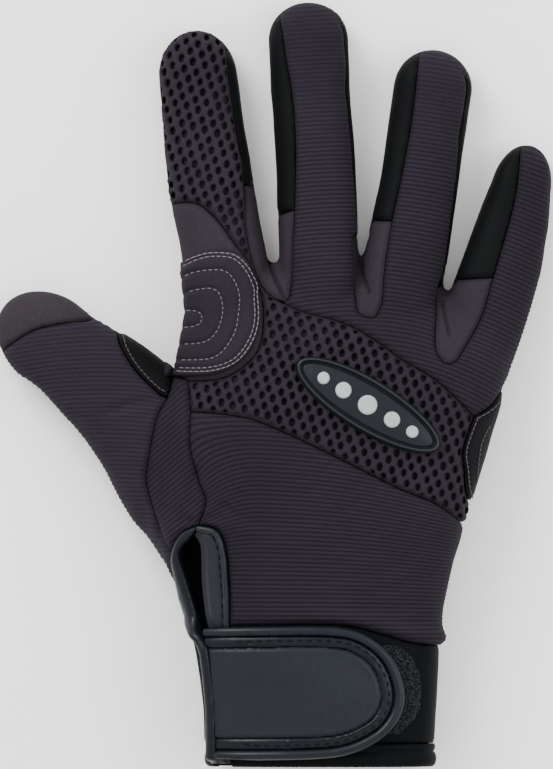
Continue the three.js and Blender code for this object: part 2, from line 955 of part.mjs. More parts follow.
// Hook-and-loop fastening: the fuzzy patch on the cuff and the strap that crosses the slit
const loopOutline = [
  ...handLine([[-0.120, 0.060], [-0.120, 0.245]]),
  ...smooth(
    handLine([
      [0.200, 0.250],
      [0.300, 0.250],
      [0.353, 0.209],
      [0.366, 0.157],
      [0.351, 0.105],
      [0.301, 0.068],
    ]),
  ),
];
const strapOutline = (inset) => {
  const along = inset / handLength;
  const across = inset / palmWidth;
  return [
    ...handLine([[-0.285 + across, 0.016 + along], [-0.285 + across, 0.281 - along]]),
    ...smooth(
      handLine([
        [-0.120, 0.283 - along],
        [0.109, 0.282 - along],
        [0.212 - across * 0.4, 0.259 - along * 0.9],
        [0.285 - across * 0.8, 0.213 - along * 0.6],
        [0.314 - across, 0.150],
        [0.290 - across * 0.9, 0.093 + along * 0.5],
        [0.227 - across * 0.6, 0.048 + along * 0.8],
        [0.109, 0.017 + along],
        [-0.120, 0.010 + along],
      ]),
    ),
  ];
};
const strapSeat = layerGap + loopThickness + layerGap;
const pipingWidth = 3.4;
const panelInset = 8;

const makeLoopPatch = () =>
  layer(layerGap, layerGap + loopThickness)
    .intersect(prism(loopOutline, slitSideHeight))
    .subtract(prism(handLine([[-0.8, -0.1], [0.8, -0.1], [0.8, 0.054], [-0.8, 0.054]])));

const makeStrap = () =>
  layer(strapSeat, strapSeat + strapThickness).intersect(
    prism(strapOutline(pipingWidth + seamGap), slitSideHeight),
  );

const makeStrapPiping = () =>
  layer(strapSeat, strapSeat + strapThickness + pipingRise).intersect(
    prism(strapOutline(0), slitSideHeight).subtract(prism(strapOutline(pipingWidth), slitSideHeight)),
  );

const makeStrapPanel = () => {
  const seat = strapSeat + strapThickness + layerGap;
  return layer(seat, seat + panelThickness).intersect(prism(strapOutline(panelInset), slitSideHeight));
};

// Materials
const cloth = (color, roughness) =>
  new THREE.MeshStandardMaterial({ color, roughness, metalness: 0 });
const ribbedCloth = cloth(0x32292f, 0.9);
const meshCloth = cloth(0x38333a, 0.9);
const greyLeather = cloth(0x423c42, 0.75);
const blackLeather = cloth(0x121415, 0.6);
const palmLeather = cloth(0x3a363b, 0.8);
const cuffCloth = cloth(0x15181c, 0.7);
const strapCloth = cloth(0x2b2e35, 0.6);
const loopCloth = cloth(0x141518, 1.0);
const badgeRubber = cloth(0x3c444a, 0.45);

const pieces = {
  palm_panel: [makePalmPanel, palmLeather],
  thumb_front: [makeThumbFront, palmLeather],
  upper_back: [makeUpperBack, ribbedCloth],
  mesh_back: [makeMeshBack, meshCloth],
  lower_back: [makeLowerBack, ribbedCloth],
  thumb_back: [makeThumbBack, ribbedCloth],
  thumb_strip: [makeThumbStrip, ribbedCloth],
  thumb_web_patch: [makeWebPatch, blackLeather],
  index_side_panel: [makeIndexSidePanel, greyLeather],
  knuckle_patch: [makeKnucklePatch, greyLeather],
  side_patch: [makeSidePatch, blackLeather],
  index_fourchette: [() => makeFourchette("index", indexSeam, indexGussetTop, 1), blackLeather],
  middle_fourchette: [() => makeFourchette("middle", middleSeam, reversed(indexGussetTop), -1), blackLeather],
  ring_fourchette: [() => makeFourchette("ring", ringSeam, reversed(ringGussetTop), -1), blackLeather],
  little_fourchette: [
    () => makeFourchette("little", littleSeam, reversed(littleGussetTop), -1),
    blackLeather,
  ],
  middle_side: [() => makeSideStrip("middle", middleStripStart), blackLeather],
  ring_side: [() => makeSideStrip("ring", ringStripStart), blackLeather],
  index_gusset: [
    () => makeGusset(indexSeam, middleSeam, indexGussetEnd, indexGussetTop, true),
    greyLeather,
  ],
  ring_gusset: [() => makeGusset(null, ringSeam, ringGussetEnd, ringGussetTop, false), greyLeather],
  little_gusset: [
    () => makeGusset(null, littleSeam, littleGussetEnd, littleGussetTop, false),
    greyLeather,
  ],
  badge: [makeBadge, badgeRubber],
  cuff_band: [makeCuffBand, cuffCloth],
  cuff_hem: [makeCuffHem, cuffCloth],
  slit_binding_left: [() => makeBinding(bindingLeft, slitLeft), cuffCloth],
  slit_binding_right: [() => makeBinding(bindingRight, slitRight), cuffCloth],
  loop_patch: [makeLoopPatch, loopCloth],
  wrist_strap: [makeStrap, strapCloth],
  strap_piping: [makeStrapPiping, strapCloth],
  strap_panel: [makeStrapPanel, strapCloth],
};

// The glove stands on its flat underside, centred over the origin
const glove = new THREE.Group();
Object.entries(pieces).forEach(([name, [make, material]]) => {
  const mesh = new THREE.Mesh(geometryFrom(make()), material);
  mesh.name = name;
  glove.add(mesh);
});
const box = new THREE.Box3().setFromObject(glove);
const middle = box.getCenter(new THREE.Vector3());
glove.position.set(-middle.x, -middle.y, -box.min.z);

export default glove;
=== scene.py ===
"""Climbing glove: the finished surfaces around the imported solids.

One smooth skin is made from the sections of the hand and the fingers. Each panel is cut out of it along
its seams, gets its thickness, seams, folds and ribs, and stands for its own solid. Lengths are in
millimetres in the hand's own frame until a piece is placed, in metres, in the frame of the solids.
"""
import math

import bpy
import numpy as np
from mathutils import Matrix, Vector
from mathutils.bvhtree import BVHTree


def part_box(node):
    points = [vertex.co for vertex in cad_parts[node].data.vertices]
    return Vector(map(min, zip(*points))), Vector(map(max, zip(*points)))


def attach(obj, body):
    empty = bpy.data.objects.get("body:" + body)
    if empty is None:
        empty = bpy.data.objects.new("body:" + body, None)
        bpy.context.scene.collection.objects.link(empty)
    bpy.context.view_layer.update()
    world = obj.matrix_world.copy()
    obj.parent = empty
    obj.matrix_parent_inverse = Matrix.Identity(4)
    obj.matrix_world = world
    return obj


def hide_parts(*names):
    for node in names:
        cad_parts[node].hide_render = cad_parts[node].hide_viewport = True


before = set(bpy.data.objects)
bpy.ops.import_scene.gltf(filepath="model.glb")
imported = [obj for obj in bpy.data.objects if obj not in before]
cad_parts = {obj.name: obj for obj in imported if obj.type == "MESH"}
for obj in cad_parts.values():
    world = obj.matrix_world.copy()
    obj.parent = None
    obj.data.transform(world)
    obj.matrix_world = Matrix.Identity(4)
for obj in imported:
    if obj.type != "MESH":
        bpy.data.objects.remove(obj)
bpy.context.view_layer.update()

# Driving sizes, as in the solids
PALM_WIDTH = 101
HAND_LENGTH = 150
PALM_HEIGHT = 34
CUFF_LENGTH = 40
FLAT_DEPTH = 1.4
WALL = 1.3
SEAM_GAP = 0.25
PALM_SEAM = 8.6
SIDE_SEAM = 12.6
SLIT_SIDE = 15
WIDEST_SHARE = 0.42
OPEN_END = 12

# Fingers: root across and along, lean in degrees, length, width, height, tip radius
FINGERS = {
    "index": (-0.190, 0.901, -8.4, 94, 26, 22, 14.5),
    "middle": (0.067, 0.901, -3.1, 102, 25, 22, 12),
    "ring": (0.285, 0.881, 8.7, 91, 25, 21, 11.5),
    "little": (0.522, 0.819, 12.7, 72, 24, 19, 14),
    "thumb": (-0.323, 0.643, -50.2, 75, 30, 23, 18),
}

# Finger sections: along, left, right, height
SECTIONS = {
    "index": [
        (-0.10, 1.18, 1.05, 1.10), (0.10, 1.10, 1.00, 1.10), (0.22, 1.08, 0.95, 1.06),
        (0.32, 1.04, 0.92, 1.00), (0.50, 1.17, 0.87, 0.94), (0.70, 1.05, 0.87, 0.88), (0.86, 0.98, 0.88, 0.86),
    ],
    "middle": [
        (-0.10, 0.95, 1.00, 1.12), (0.14, 0.96, 1.00, 1.08), (0.30, 0.94, 1.01, 1.02),
        (0.50, 0.90, 1.08, 0.95), (0.72, 0.93, 1.04, 0.87),
    ],
    "ring": [
        (-0.10, 0.98, 1.02, 1.12), (0.14, 1.02, 1.04, 1.08), (0.30, 0.99, 1.06, 1.02),
        (0.50, 0.90, 1.03, 0.95), (0.72, 0.91, 1.00, 0.87),
    ],
    "little": [
        (-0.12, 0.85, 0.90, 1.14), (0.12, 0.98, 1.08, 1.10), (0.30, 0.97, 1.20, 1.03),
        (0.50, 0.79, 1.27, 0.96), (0.70, 0.61, 1.14, 0.88),
        (0.83, 0.48, 1.02, 0.86),
    ],
    "thumb": [
        (-0.20, 2.10, 0.70, 1.26), (0.02, 1.84, 0.90, 1.20), (0.18, 1.53, 1.02, 1.12),
        (0.30, 1.25, 1.05, 1.05), (0.50, 1.09, 1.03, 0.98), (0.68, 0.96, 0.82, 0.90),
        (0.82, 1.06, 0.83, 0.88),
    ],
}

# Hand sections: along, left, right, height, slope
HAND = [
    (-0.08, -0.282, 0.411, 0.86, 0), (0.00, -0.282, 0.411, 0.86, 0), (0.05, -0.289, 0.414, 0.87, 0),
    (0.10, -0.291, 0.418, 0.87, 0), (0.15, -0.298, 0.422, 0.88, 0), (0.20, -0.310, 0.426, 0.89, 0),
    (0.26, -0.328, 0.430, 0.90, 0),
    (0.33, -0.348, 0.434, 0.93, 0), (0.42, -0.412, 0.466, 0.97, 0), (0.50, -0.455, 0.503, 1.00, 0),
    (0.60, -0.462, 0.545, 1.00, 0), (0.70, -0.437, 0.590, 0.98, 0), (0.79, -0.378, 0.625, 0.95, -0.05),
    (0.88, -0.350, 0.640, 0.87, -0.10), (0.95, -0.330, 0.620, 0.75, -0.15),
    (1.00, -0.310, 0.570, 0.58, -0.18), (1.03, -0.270, 0.520, 0.38, -0.18),
]

# Badge on the knuckle band
BADGE_CENTRE = (0.207, 0.746)
BADGE_LENGTH = 51
BADGE_WIDTH = 16.4
BADGE_TILT = math.radians(-31)

STEPS = 6
VOXEL = 1.05
RING_SIDES = 56


# Places and lines on the back of the glove

def on_hand(across, along):
    return np.array((across * PALM_WIDTH, along * HAND_LENGTH))


def finger_frame(name):
    across, along, lean, length, width, _, _ = FINGERS[name]
    turn = math.radians(lean)
    ahead = np.array((math.sin(turn), math.cos(turn)))
    return on_hand(across, along), ahead, np.array((ahead[1], -ahead[0])), length, width


def on_finger(name, along, side):
    root, ahead, right, length, width = finger_frame(name)
    return root + ahead * along * length + right * side * width / 2


def hand_line(*points):
    return np.array([on_hand(*p) for p in points])


def finger_line(name, *points):
    return np.array([on_finger(name, *p) for p in points])


def smooth(points, steps=STEPS):
    """A Catmull-Rom line through a few points."""
    points = np.asarray(points, float)
    padded = np.vstack([points[:1], points, points[-1:]])
    share = (np.arange(steps) / steps)[:, None]
    pieces = []
    for p0, p1, p2, p3 in zip(padded, padded[1:], padded[2:], padded[3:]):
        v0, v1 = (p2 - p0) / 2, (p3 - p1) / 2
        cubic = 2 * p1 - 2 * p2 + v0 + v1
        square = 3 * p2 - 3 * p1 - 2 * v0 - v1
        pieces.append(((cubic * share + square) * share + v0) * share + p1)
    return np.vstack([*pieces, points[-1:]])


def inset(line, distance):
    """A line beside another, to its left for a positive distance."""
    ahead = np.gradient(line, axis=0)
    ahead /= np.linalg.norm(ahead, axis=1, keepdims=True).clip(1e-9)
    return line + np.column_stack([-ahead[:, 1], ahead[:, 0]]) * distance


def spans(line, first, last=None):
    """The stretch of a smooth line between two of the points that it was made through."""
    return line[first * STEPS:] if last is None else line[first * STEPS:last * STEPS + 1]


def closed(*lines):
    return np.vstack([np.atleast_2d(line) for line in lines])


index_seam = smooth(finger_line("index", (0.14, 0.73), (0.23, 0.61), (0.34, 0.59), (0.47, 0.70),
                                (0.75, 0.70), (0.92, 0.74), (1.20, 0.90)))
middle_seam = smooth(finger_line("middle", (0.11, -0.74), (0.28, -0.62), (0.37, -0.54), (0.58, -0.41),
                                 (0.73, -0.44), (0.86, -0.56), (1.20, -0.85)))
ring_seam = smooth(finger_line("ring", (0.12, -0.41), (0.25, -0.49), (0.40, -0.47), (0.57, -0.40),
                               (0.80, -0.38), (1.20, -0.50)))
little_seam = smooth(finger_line("little", (0.07, -0.30), (0.23, -0.02), (0.41, 0.06), (0.67, 0.16),
                                 (0.85, 0.13), (1.20, -0.20)))
index_gusset_end = closed(index_seam[0], hand_line((-0.101, 0.982), (-0.077, 0.969), (-0.046, 0.963)),
                          middle_seam[0])
ring_gusset_end = smooth(closed(finger_line("middle", (0.28, 0.92), (0.19, 0.90), (0.10, 0.89)),
                                hand_line((0.178, 0.944), (0.195, 0.933), (0.231, 0.931)), ring_seam[0]))
little_gusset_end = smooth(closed(finger_line("ring", (0.20, 0.97), (0.12, 0.98)),
                                  hand_line((0.417, 0.868), (0.443, 0.836), (0.476, 0.836)),
                                  little_seam[0]))
index_gusset_top = closed(finger_line("index", (0.47, 0.70), (0.46, 1.20)),
                          finger_line("middle", (0.35, -1.20), (0.37, -0.54)))
ring_gusset_top = closed(finger_line("middle", (0.28, 0.92), (0.28, 1.25)),
                         finger_line("ring", (0.39, -1.25), (0.40, -0.47)))
little_gusset_top = closed(on_finger("ring", 0.20, 0.97),
                           finger_line("little", (0.37, -0.85), (0.41, 0.06)))
mesh_top = smooth(closed(index_gusset_end[2], hand_line((0.009, 0.942), (0.135, 0.918), (0.236, 0.880),
                                                        (0.316, 0.841), (0.424, 0.796), (0.537, 0.723))))
mesh_bottom = smooth(hand_line((-0.337, 0.734), (-0.178, 0.723), (-0.077, 0.699), (0.077, 0.651),
                               (0.295, 0.577), (0.427, 0.539), (0.560, 0.470)))
side_patch_edge = smooth(closed(mesh_top[-1], hand_line((0.503, 0.657), (0.506, 0.616), (0.522, 0.550),
                                                        (0.600, 0.500))))
side_patch_top = smooth(closed(mesh_top[-1], hand_line((0.589, 0.746), (0.660, 0.805), (0.760, 0.850))))
side_panel_edge = smooth(closed(
    finger_line("index", (0.44, -1.60), (0.44, -0.67)),
    hand_line((-0.265, 1.137), (-0.203, 1.085), (-0.153, 1.040), (-0.121, 0.985), (-0.112, 0.930),
              (-0.123, 0.870), (-0.165, 0.832), (-0.240, 0.803), (-0.345, 0.797))))
side_panel_foot = closed(side_panel_edge[-1], hand_line((-0.388, 0.812), (-0.430, 0.900)))
strip_left = smooth(hand_line((-0.388, 0.807), (-0.405, 0.765), (-0.439, 0.721), (-0.463, 0.643),
                              (-0.475, 0.589), (-0.453, 0.530), (-0.416, 0.467), (-0.389, 0.436)))
strip_right = smooth(closed(side_panel_edge[-1], mesh_bottom[0],
                            hand_line((-0.337, 0.661), (-0.312, 0.590), (-0.289, 0.548), (-0.312, 0.500))))
web_patch_edge = smooth(hand_line((-0.560, 0.930), (-0.549, 0.874), (-0.506, 0.823), (-0.439, 0.776),
                                  (-0.405, 0.765)))
thumb_tip_edge = smooth(finger_line("thumb", (0.90, -1.30), (0.88, -0.71), (0.84, -0.13), (0.75, 0.46),
                                    (0.69, 0.80), (0.68, 1.30)))
thumb_root_seam = smooth(hand_line((-0.430, 0.900), (-0.370, 0.790), (-0.270, 0.690), (-0.260, 0.590),
                                   (-0.330, 0.500), (-0.520, 0.450)))
HEM_END = -0.04
slit_left = smooth(hand_line((-0.325, 0.478), (-0.362, 0.450), (-0.362, 0.420), (-0.332, 0.352),
                             (-0.307, 0.300), (-0.274, 0.265), (-0.259, 0.240), (-0.247, 0.180),
                             (-0.238, 0.114), (-0.236, 0.050), (-0.236, HEM_END)))
slit_right = smooth(hand_line((-0.325, 0.478), (-0.306, 0.455), (-0.303, 0.393), (-0.297, 0.341),
                              (-0.284, 0.289), (-0.256, 0.255), (-0.240, 0.200), (-0.229, 0.120),
                              (-0.227, HEM_END)))
binding_left = smooth(hand_line((-0.312, 0.500), (-0.364, 0.482), (-0.389, 0.436), (-0.378, 0.385),
                                (-0.345, 0.310), (-0.313, 0.279), (-0.285, 0.246), (-0.270, 0.180),
                                (-0.261, 0.114), (-0.259, 0.050), (-0.259, HEM_END)))
binding_right = smooth(hand_line((-0.312, 0.500), (-0.255, 0.490), (-0.228, 0.452), (-0.218, 0.384),
                                 (-0.213, 0.300), (-0.206, HEM_END)))
CUFF_TOP = CUFF_LENGTH / HAND_LENGTH
cuff_top = smooth(hand_line((-0.800, CUFF_TOP), (-0.345, CUFF_TOP + 0.010), (-0.212, CUFF_TOP + 0.022),
                            (0.109, CUFF_TOP + 0.028), (0.259, CUFF_TOP + 0.008),
                            (0.384, CUFF_TOP - 0.012), (0.800, CUFF_TOP - 0.040)))
HEM_HEIGHT = 7.2
right_of_palm = hand_line((0.760, 0.500))
cuff_corners = hand_line((0.800, -0.100), (-0.800, -0.100))

pad_outline = smooth(hand_line((-0.420, 1.020), (-0.330, 1.050), (-0.240, 1.067), (-0.175, 1.052),
                               (-0.141, 1.006), (-0.124, 0.950), (-0.130, 0.890), (-0.165, 0.845),
                               (-0.240, 0.813), (-0.330, 0.805), (-0.420, 0.803)))
# Lines stitched on the pad, from its top left round to its bottom left
pad_lines = [
    smooth(hand_line((-0.381, 1.031), (-0.350, 1.044), (-0.307, 1.058), (-0.261, 1.064), (-0.193, 1.056),
                     (-0.146, 1.014), (-0.121, 0.953), (-0.123, 0.901), (-0.153, 0.856), (-0.200, 0.825),
                     (-0.276, 0.810), (-0.387, 0.810))),
    smooth(hand_line((-0.378, 0.996), (-0.356, 1.004), (-0.322, 1.019), (-0.270, 1.025), (-0.224, 1.021),
                     (-0.193, 0.990), (-0.184, 0.942), (-0.193, 0.897), (-0.224, 0.860), (-0.261, 0.841),
                     (-0.319, 0.837), (-0.387, 0.837))),
    smooth(hand_line((-0.378, 0.959), (-0.356, 0.965), (-0.331, 0.980), (-0.276, 0.988), (-0.246, 0.980),
                     (-0.233, 0.949), (-0.239, 0.907), (-0.270, 0.878), (-0.316, 0.870), (-0.387, 0.870))),
    smooth(hand_line((-0.378, 0.932), (-0.353, 0.936), (-0.325, 0.942), (-0.295, 0.938), (-0.289, 0.922),
                     (-0.304, 0.907), (-0.356, 0.903), (-0.387, 0.903))),
]
pad_stitch_lines = [inset(pad_lines[0], -0.6), inset(pad_lines[0], -1.7), *pad_lines[1:]]
strap_rim = closed(
    hand_line((-0.250, 0.019), (-0.274, 0.290)),
    smooth(hand_line((-0.120, 0.293), (0.109, 0.292), (0.212, 0.270), (0.282, 0.222), (0.312, 0.152),
                     (0.290, 0.093), (0.227, 0.050), (0.109, 0.021), (-0.120, 0.015))))
strap_run = np.vstack([strap_rim[:1] - (60, 0), strap_rim[1:2] - (60, 0), strap_rim[2:], strap_rim[-1:] - (60, 0)])
loop_rim = closed(
    hand_line((-0.120, 0.060), (-0.120, 0.245)),
    smooth(hand_line((0.200, 0.250), (0.300, 0.250), (0.353, 0.209), (0.366, 0.157), (0.351, 0.105),
                     (0.301, 0.068))))


# Distances from points to lines and outlines

FAR = 8


def line_distance(points, line):
    nearest = np.full(len(points), 1e9)
    for a, b in zip(line, line[1:]):
        step = b - a
        size = step @ step
        if size < 1e-9:
            continue
        share = np.clip((points - a) @ step / size, 0, 1)
        gap = points - a - share[:, None] * step
        nearest = np.minimum(nearest, (gap * gap).sum(1))
    return np.sqrt(nearest)


def outline_field(points, outline):
    """Signed distance to a closed outline, negative inside it. Points far outside only get a large one."""
    low, high = outline.min(0) - FAR, outline.max(0) + FAR
    near = ((points > low) & (points < high)).all(1)
    result = np.full(len(points), float(FAR))
    if near.any():
        result[near] = near_field(points[near], outline)
    return result


def near_field(points, outline):
    loop = np.vstack([outline, outline[:1]])
    inside = np.zeros(len(points), bool)
    x, y = points[:, 0], points[:, 1]
    for a, b in zip(loop, loop[1:]):
        if a[1] == b[1]:
            continue
        crossing = (a[1] > y) != (b[1] > y)
        inside ^= crossing & (x < a[0] + (y - a[1]) / (b[1] - a[1]) * (b[0] - a[0]))
    return np.where(inside, -1, 1) * line_distance(points, loop)


def noise(points, scale, seed):
    """Smooth random values between -1 and 1, one lattice cell to each scale."""
    side = 32
    lattice = np.random.default_rng(seed).uniform(-1, 1, (side, side, side))
    place = points / scale
    cell = np.floor(place).astype(int)
    share = place - cell
    share = share * share * (3 - 2 * share)
    total = np.zeros(len(points))
    for corner in range(8):
        step = np.array([(corner >> k) & 1 for k in range(3)])
        weight = np.prod(np.where(step, share, 1 - share), 1)
        i, j, k = ((cell + step) % side).T
        total += weight * lattice[i, j, k]
    return total


def ramp(value, low, high):
    share = np.clip((value - low) / (high - low), 0, 1)
    return share * share * (3 - 2 * share)


# The smooth skin that all the panels are cut from

def even_rows(rows, length, step=1.0, blur=5.0):
    """A section table at even steps, rounded off between its rows."""
    rows = np.array(rows, float)
    reach = np.arange(rows[0, 0] * length, rows[-1, 0] * length + step / 2, step)
    kernel = np.exp(-0.5 * (np.arange(-3 * blur, 3 * blur + 1) * step / blur) ** 2)
    kernel /= kernel.sum()
    pad = len(kernel) // 2
    columns = []
    for k in range(1, rows.shape[1]):
        column = np.interp(reach, rows[:, 0] * length, rows[:, k])
        grown = np.pad(column, pad, mode="reflect", reflect_type="odd")
        columns.append(np.convolve(grown, kernel, "valid"))
    return reach, np.array(columns).T


def section_ring(left, right, height, squareness):
    """Across and up of one section, widest a little under its middle and flat underneath."""
    angle = 2 * math.pi * np.arange(RING_SIDES) / RING_SIDES
    c, s = np.cos(angle), np.sin(angle)
    c = np.sign(c) * np.abs(c) ** (2 / squareness)
    s = np.sign(s) * np.abs(s) ** (2 / squareness)
    level = height * WIDEST_SHARE
    return c * np.where(c > 0, right, left), level + s * np.where(s > 0, height - level, level + FLAT_DEPTH)


def hand_rings():
    rings = []
    reach, rows = even_rows(HAND, HAND_LENGTH, 1.5, 4)
    for y, (left, right, height, slope) in zip(reach, rows):
        half, centre = (right - left) / 2 * PALM_WIDTH, (right + left) / 2 * PALM_WIDTH
        across, up = section_ring(half, half, height * PALM_HEIGHT, 2.7)
        rings.append(np.array([centre + across, y + slope * (centre + across), up]).T)
    return rings


def finger_rings(name):
    _, _, _, length, width, height, tip = FINGERS[name]
    root, ahead, right, _, _ = finger_frame(name)
    reach, rows = even_rows(SECTIONS[name], length)
    keep = reach < length - tip
    stations = [(y, row, 1.0) for y, row in zip(reach[keep], rows[keep])]
    for angle in np.radians(np.linspace(0, 86, 14)):
        stations.append((length - tip + tip * math.sin(angle), rows[-1], math.cos(angle)))
    rings = []
    for y, (wide_left, wide_right, high), scale in stations:
        across, up = section_ring(wide_left * width / 2, wide_right * width / 2, high * height, 2.3)
        centre, level = (wide_right - wide_left) * width / 4, high * height * WIDEST_SHARE
        across, up = centre + (across - centre) * scale, level + (up - level) * scale
        flat = root + ahead * y + right * across[:, None]
        rings.append(np.column_stack([flat, up]))
    return rings


def make_skin():
    """All the lofts melted into one smooth closed surface: its points and triangles."""
    points, faces, start = [], [], 0
    for rings in [hand_rings(), *[finger_rings(name) for name in FINGERS]]:
        for r in range(len(rings) - 1):
            for i in range(RING_SIDES):
                a, b = start + r * RING_SIDES + i, start + r * RING_SIDES + (i + 1) % RING_SIDES
                faces.append((a, a + RING_SIDES, b + RING_SIDES, b))
        faces.append(tuple(range(start, start + RING_SIDES)))
        top = start + (len(rings) - 1) * RING_SIDES
        faces.append(tuple(range(top + RING_SIDES - 1, top - 1, -1)))
        points += [p for ring in rings for p in ring]
        start = len(points)
    mesh = bpy.data.meshes.new("skin")
    mesh.from_pydata(points, [], faces)
    holder = bpy.data.objects.new("skin", mesh)
    bpy.context.scene.collection.objects.link(holder)
    melt = holder.modifiers.new("melt", "REMESH")
    melt.mode = "VOXEL"
    melt.voxel_size = VOXEL
    melted = holder.evaluated_get(bpy.context.evaluated_depsgraph_get()).to_mesh()
    melted.calc_loop_triangles()
    flat = np.empty(len(melted.vertices) * 3)
    melted.vertices.foreach_get("co", flat)
    corners = np.empty(len(melted.loop_triangles) * 3, np.int32)
    melted.loop_triangles.foreach_get("vertices", corners)
    holder.to_mesh_clear()
    bpy.data.objects.remove(holder)
    bpy.data.meshes.remove(mesh)
    return flat.reshape(-1, 3), corners.reshape(-1, 3)


def edge_list(triangles):
    pairs = np.sort(np.vstack([triangles[:, [0, 1]], triangles[:, [1, 2]], triangles[:, [2, 0]]]), 1)
    return np.unique(pairs, axis=0)


def relax(points, edges, rounds, weight=None, back=-0.53):
    """Smooths points towards their neighbours, and back again so that little is lost."""
    points = points.copy()
    degree = np.bincount(edges.ravel(), minlength=len(points)).clip(1)
    for _ in range(rounds):
        for pull in (0.5, back):
            total = np.empty_like(points)
            for k in range(points.shape[1]):
                total[:, k] = np.bincount(edges[:, 0], points[edges[:, 1], k], len(points))
                total[:, k] += np.bincount(edges[:, 1], points[edges[:, 0], k], len(points))
            step = (total / degree[:, None] - points) * pull
            points += step if weight is None else step * weight[:, None]
    return points


def normals_of(points, triangles):
    a, b, c = (points[triangles[:, k]] for k in range(3))
    face = np.cross(b - a, c - a)
    total = np.zeros_like(points)
    for k in range(3):
        for axis in range(3):
            total[:, axis] += np.bincount(triangles[:, k], face[:, axis], len(points))
    return total / np.linalg.norm(total, axis=1, keepdims=True).clip(1e-9)


skin_points, skin_triangles = make_skin()
skin_edges = edge_list(skin_triangles)
skin_points = relax(skin_points, skin_edges, 12)
crotch_weight = ramp(skin_points[:, 1], 112, 128) * (1 - ramp(skin_points[:, 1], 162, 176))
thumb_gap = np.hypot(skin_points[:, 0] + 36, skin_points[:, 1] - 112)
crotch_weight = np.maximum(crotch_weight, 1 - ramp(thumb_gap, 18, 40))
little_root = np.hypot(skin_points[:, 0] - 64, skin_points[:, 1] - 114)
skin_points = relax(skin_points, skin_edges, 25, 1 - ramp(little_root, 9, 22), 0.0)
skin_points = relax(skin_points, skin_edges, 5, crotch_weight, 0.0)
skin_normals = relax(normals_of(skin_points, skin_triangles), skin_edges, 3, back=0.0)
FLOOR_SOFTNESS = 0.3
skin_points[:, 2] = np.logaddexp(0, skin_points[:, 2] / FLOOR_SOFTNESS) * FLOOR_SOFTNESS
skin = np.hstack([skin_points, skin_normals])
skin_tree = BVHTree.FromPolygons(skin_points.tolist(), skin_triangles.tolist())


# Cutting panels out of the skin

def split_corners(points, a, b, field):
    """New points where the field crosses zero on the edges a-b, one for each edge."""
    pairs = np.sort(np.column_stack([a, b]), 1)
    unique, where = np.unique(pairs, axis=0, return_inverse=True)
    fa, fb = field[unique[:, 0]], field[unique[:, 1]]
    share = (fa / (fa - fb)).clip(0.02, 0.98)[:, None]
    made = points[unique[:, 0]] * (1 - share) + points[unique[:, 1]] * share
    return made, where.ravel()


def clip(points, triangles, field):
    """Keeps the part of a surface where the field is below zero, cut along its zero line."""
    inside = field < 0
    count = inside[triangles].sum(1)
    cut = triangles[(count == 1) | (count == 2)]
    odd_in = inside[cut].sum(1) == 1
    flags = np.where(odd_in[:, None], inside[cut], ~inside[cut])
    first = flags.argmax(1)
    rows = np.arange(len(cut))
    a, b, c = (cut[rows, (first + k) % 3] for k in range(3))
    made, where = split_corners(points, np.concatenate([a, a]), np.concatenate([b, c]), field)
    ab, ac = len(points) + where[:len(cut)], len(points) + where[len(cut):]
    one, two = odd_in, ~odd_in
    kept = np.vstack([
        triangles[count == 3],
        np.column_stack([a, ab, ac])[one],
        np.column_stack([ab, b, c])[two],
        np.column_stack([ab, c, ac])[two],
    ])
    return compact(np.vstack([points, made]), kept)


def compact(points, triangles):
    used, renumbered = np.unique(triangles, return_inverse=True)
    return points[used], renumbered.reshape(-1, 3)


def subdivide(points, triangles):
    """Four triangles for each one, with the new points eased onto a round surface."""
    a, b, c = triangles.T
    pairs = np.sort(np.vstack([np.column_stack([a, b]), np.column_stack([b, c]), np.column_stack([c, a])]), 1)
    unique, where = np.unique(pairs, axis=0, return_inverse=True)
    where = where.ravel() + len(points)
    middle = points[unique].mean(1)
    gap = points[unique[:, 1], :3] - points[unique[:, 0], :3]
    bow = ((points[unique[:, 0], 3:6] - points[unique[:, 1], 3:6]) * gap).sum(1) / 8
    middle[:, :3] += middle[:, 3:6] * bow[:, None]
    ab, bc, ca = np.split(where, 3)
    finer = np.vstack([
        np.column_stack([a, ab, ca]), np.column_stack([ab, b, bc]),
        np.column_stack([ca, bc, c]), np.column_stack([ab, bc, ca]),
    ])
    return np.vstack([points, middle]), finer


def slice_at_levels(points, triangles, level_of):
    """Cuts triangles along every whole level of a field, so that ribs get clean crests and grooves."""
    for _ in range(6):
        level = level_of(points)
        corner = level[triangles]
        low, high = corner.min(1), corner.max(1)
        aim = np.round((low + high) / 2)
        crossed = (aim > low + 0.06) & (aim < high - 0.06)
        if not crossed.any():
            break
        tri, aim, corner = triangles[crossed], aim[crossed], corner[crossed]
        above = corner > aim[:, None]
        odd = np.where((above.sum(1) == 1)[:, None], above, ~above)
        first = odd.argmax(1)
        rows = np.arange(len(tri))
        a, b, c = (tri[rows, (first + k) % 3] for k in range(3))
        fa, fb, fc = (corner[rows, (first + k) % 3] - aim for k in range(3))
        start = len(points)
        share_b, share_c = (fa / (fa - fb))[:, None], (fa / (fa - fc))[:, None]
        made_b = points[a] * (1 - share_b) + points[b] * share_b
        made_c = points[a] * (1 - share_c) + points[c] * share_c
        ab, ac = start + rows, start + len(tri) + rows
        points = np.vstack([points, made_b, made_c])
        triangles = np.vstack([
            triangles[~crossed], np.column_stack([a, ab, ac]),
            np.column_stack([ab, b, c]), np.column_stack([ab, c, ac]),
        ])
        points, triangles = weld(points, triangles)
    return points, triangles


def weld(points, triangles, grain=0.012):
    """Joins points that lie in the same place and drops triangles that have closed up."""
    keys = np.round(points[:, :3] / grain).astype(np.int64)
    _, first, where = np.unique(keys, axis=0, return_index=True, return_inverse=True)
    triangles = where.ravel()[triangles]
    a, b, c = triangles.T
    return compact(points[first], triangles[(a != b) & (b != c) & (c != a)])


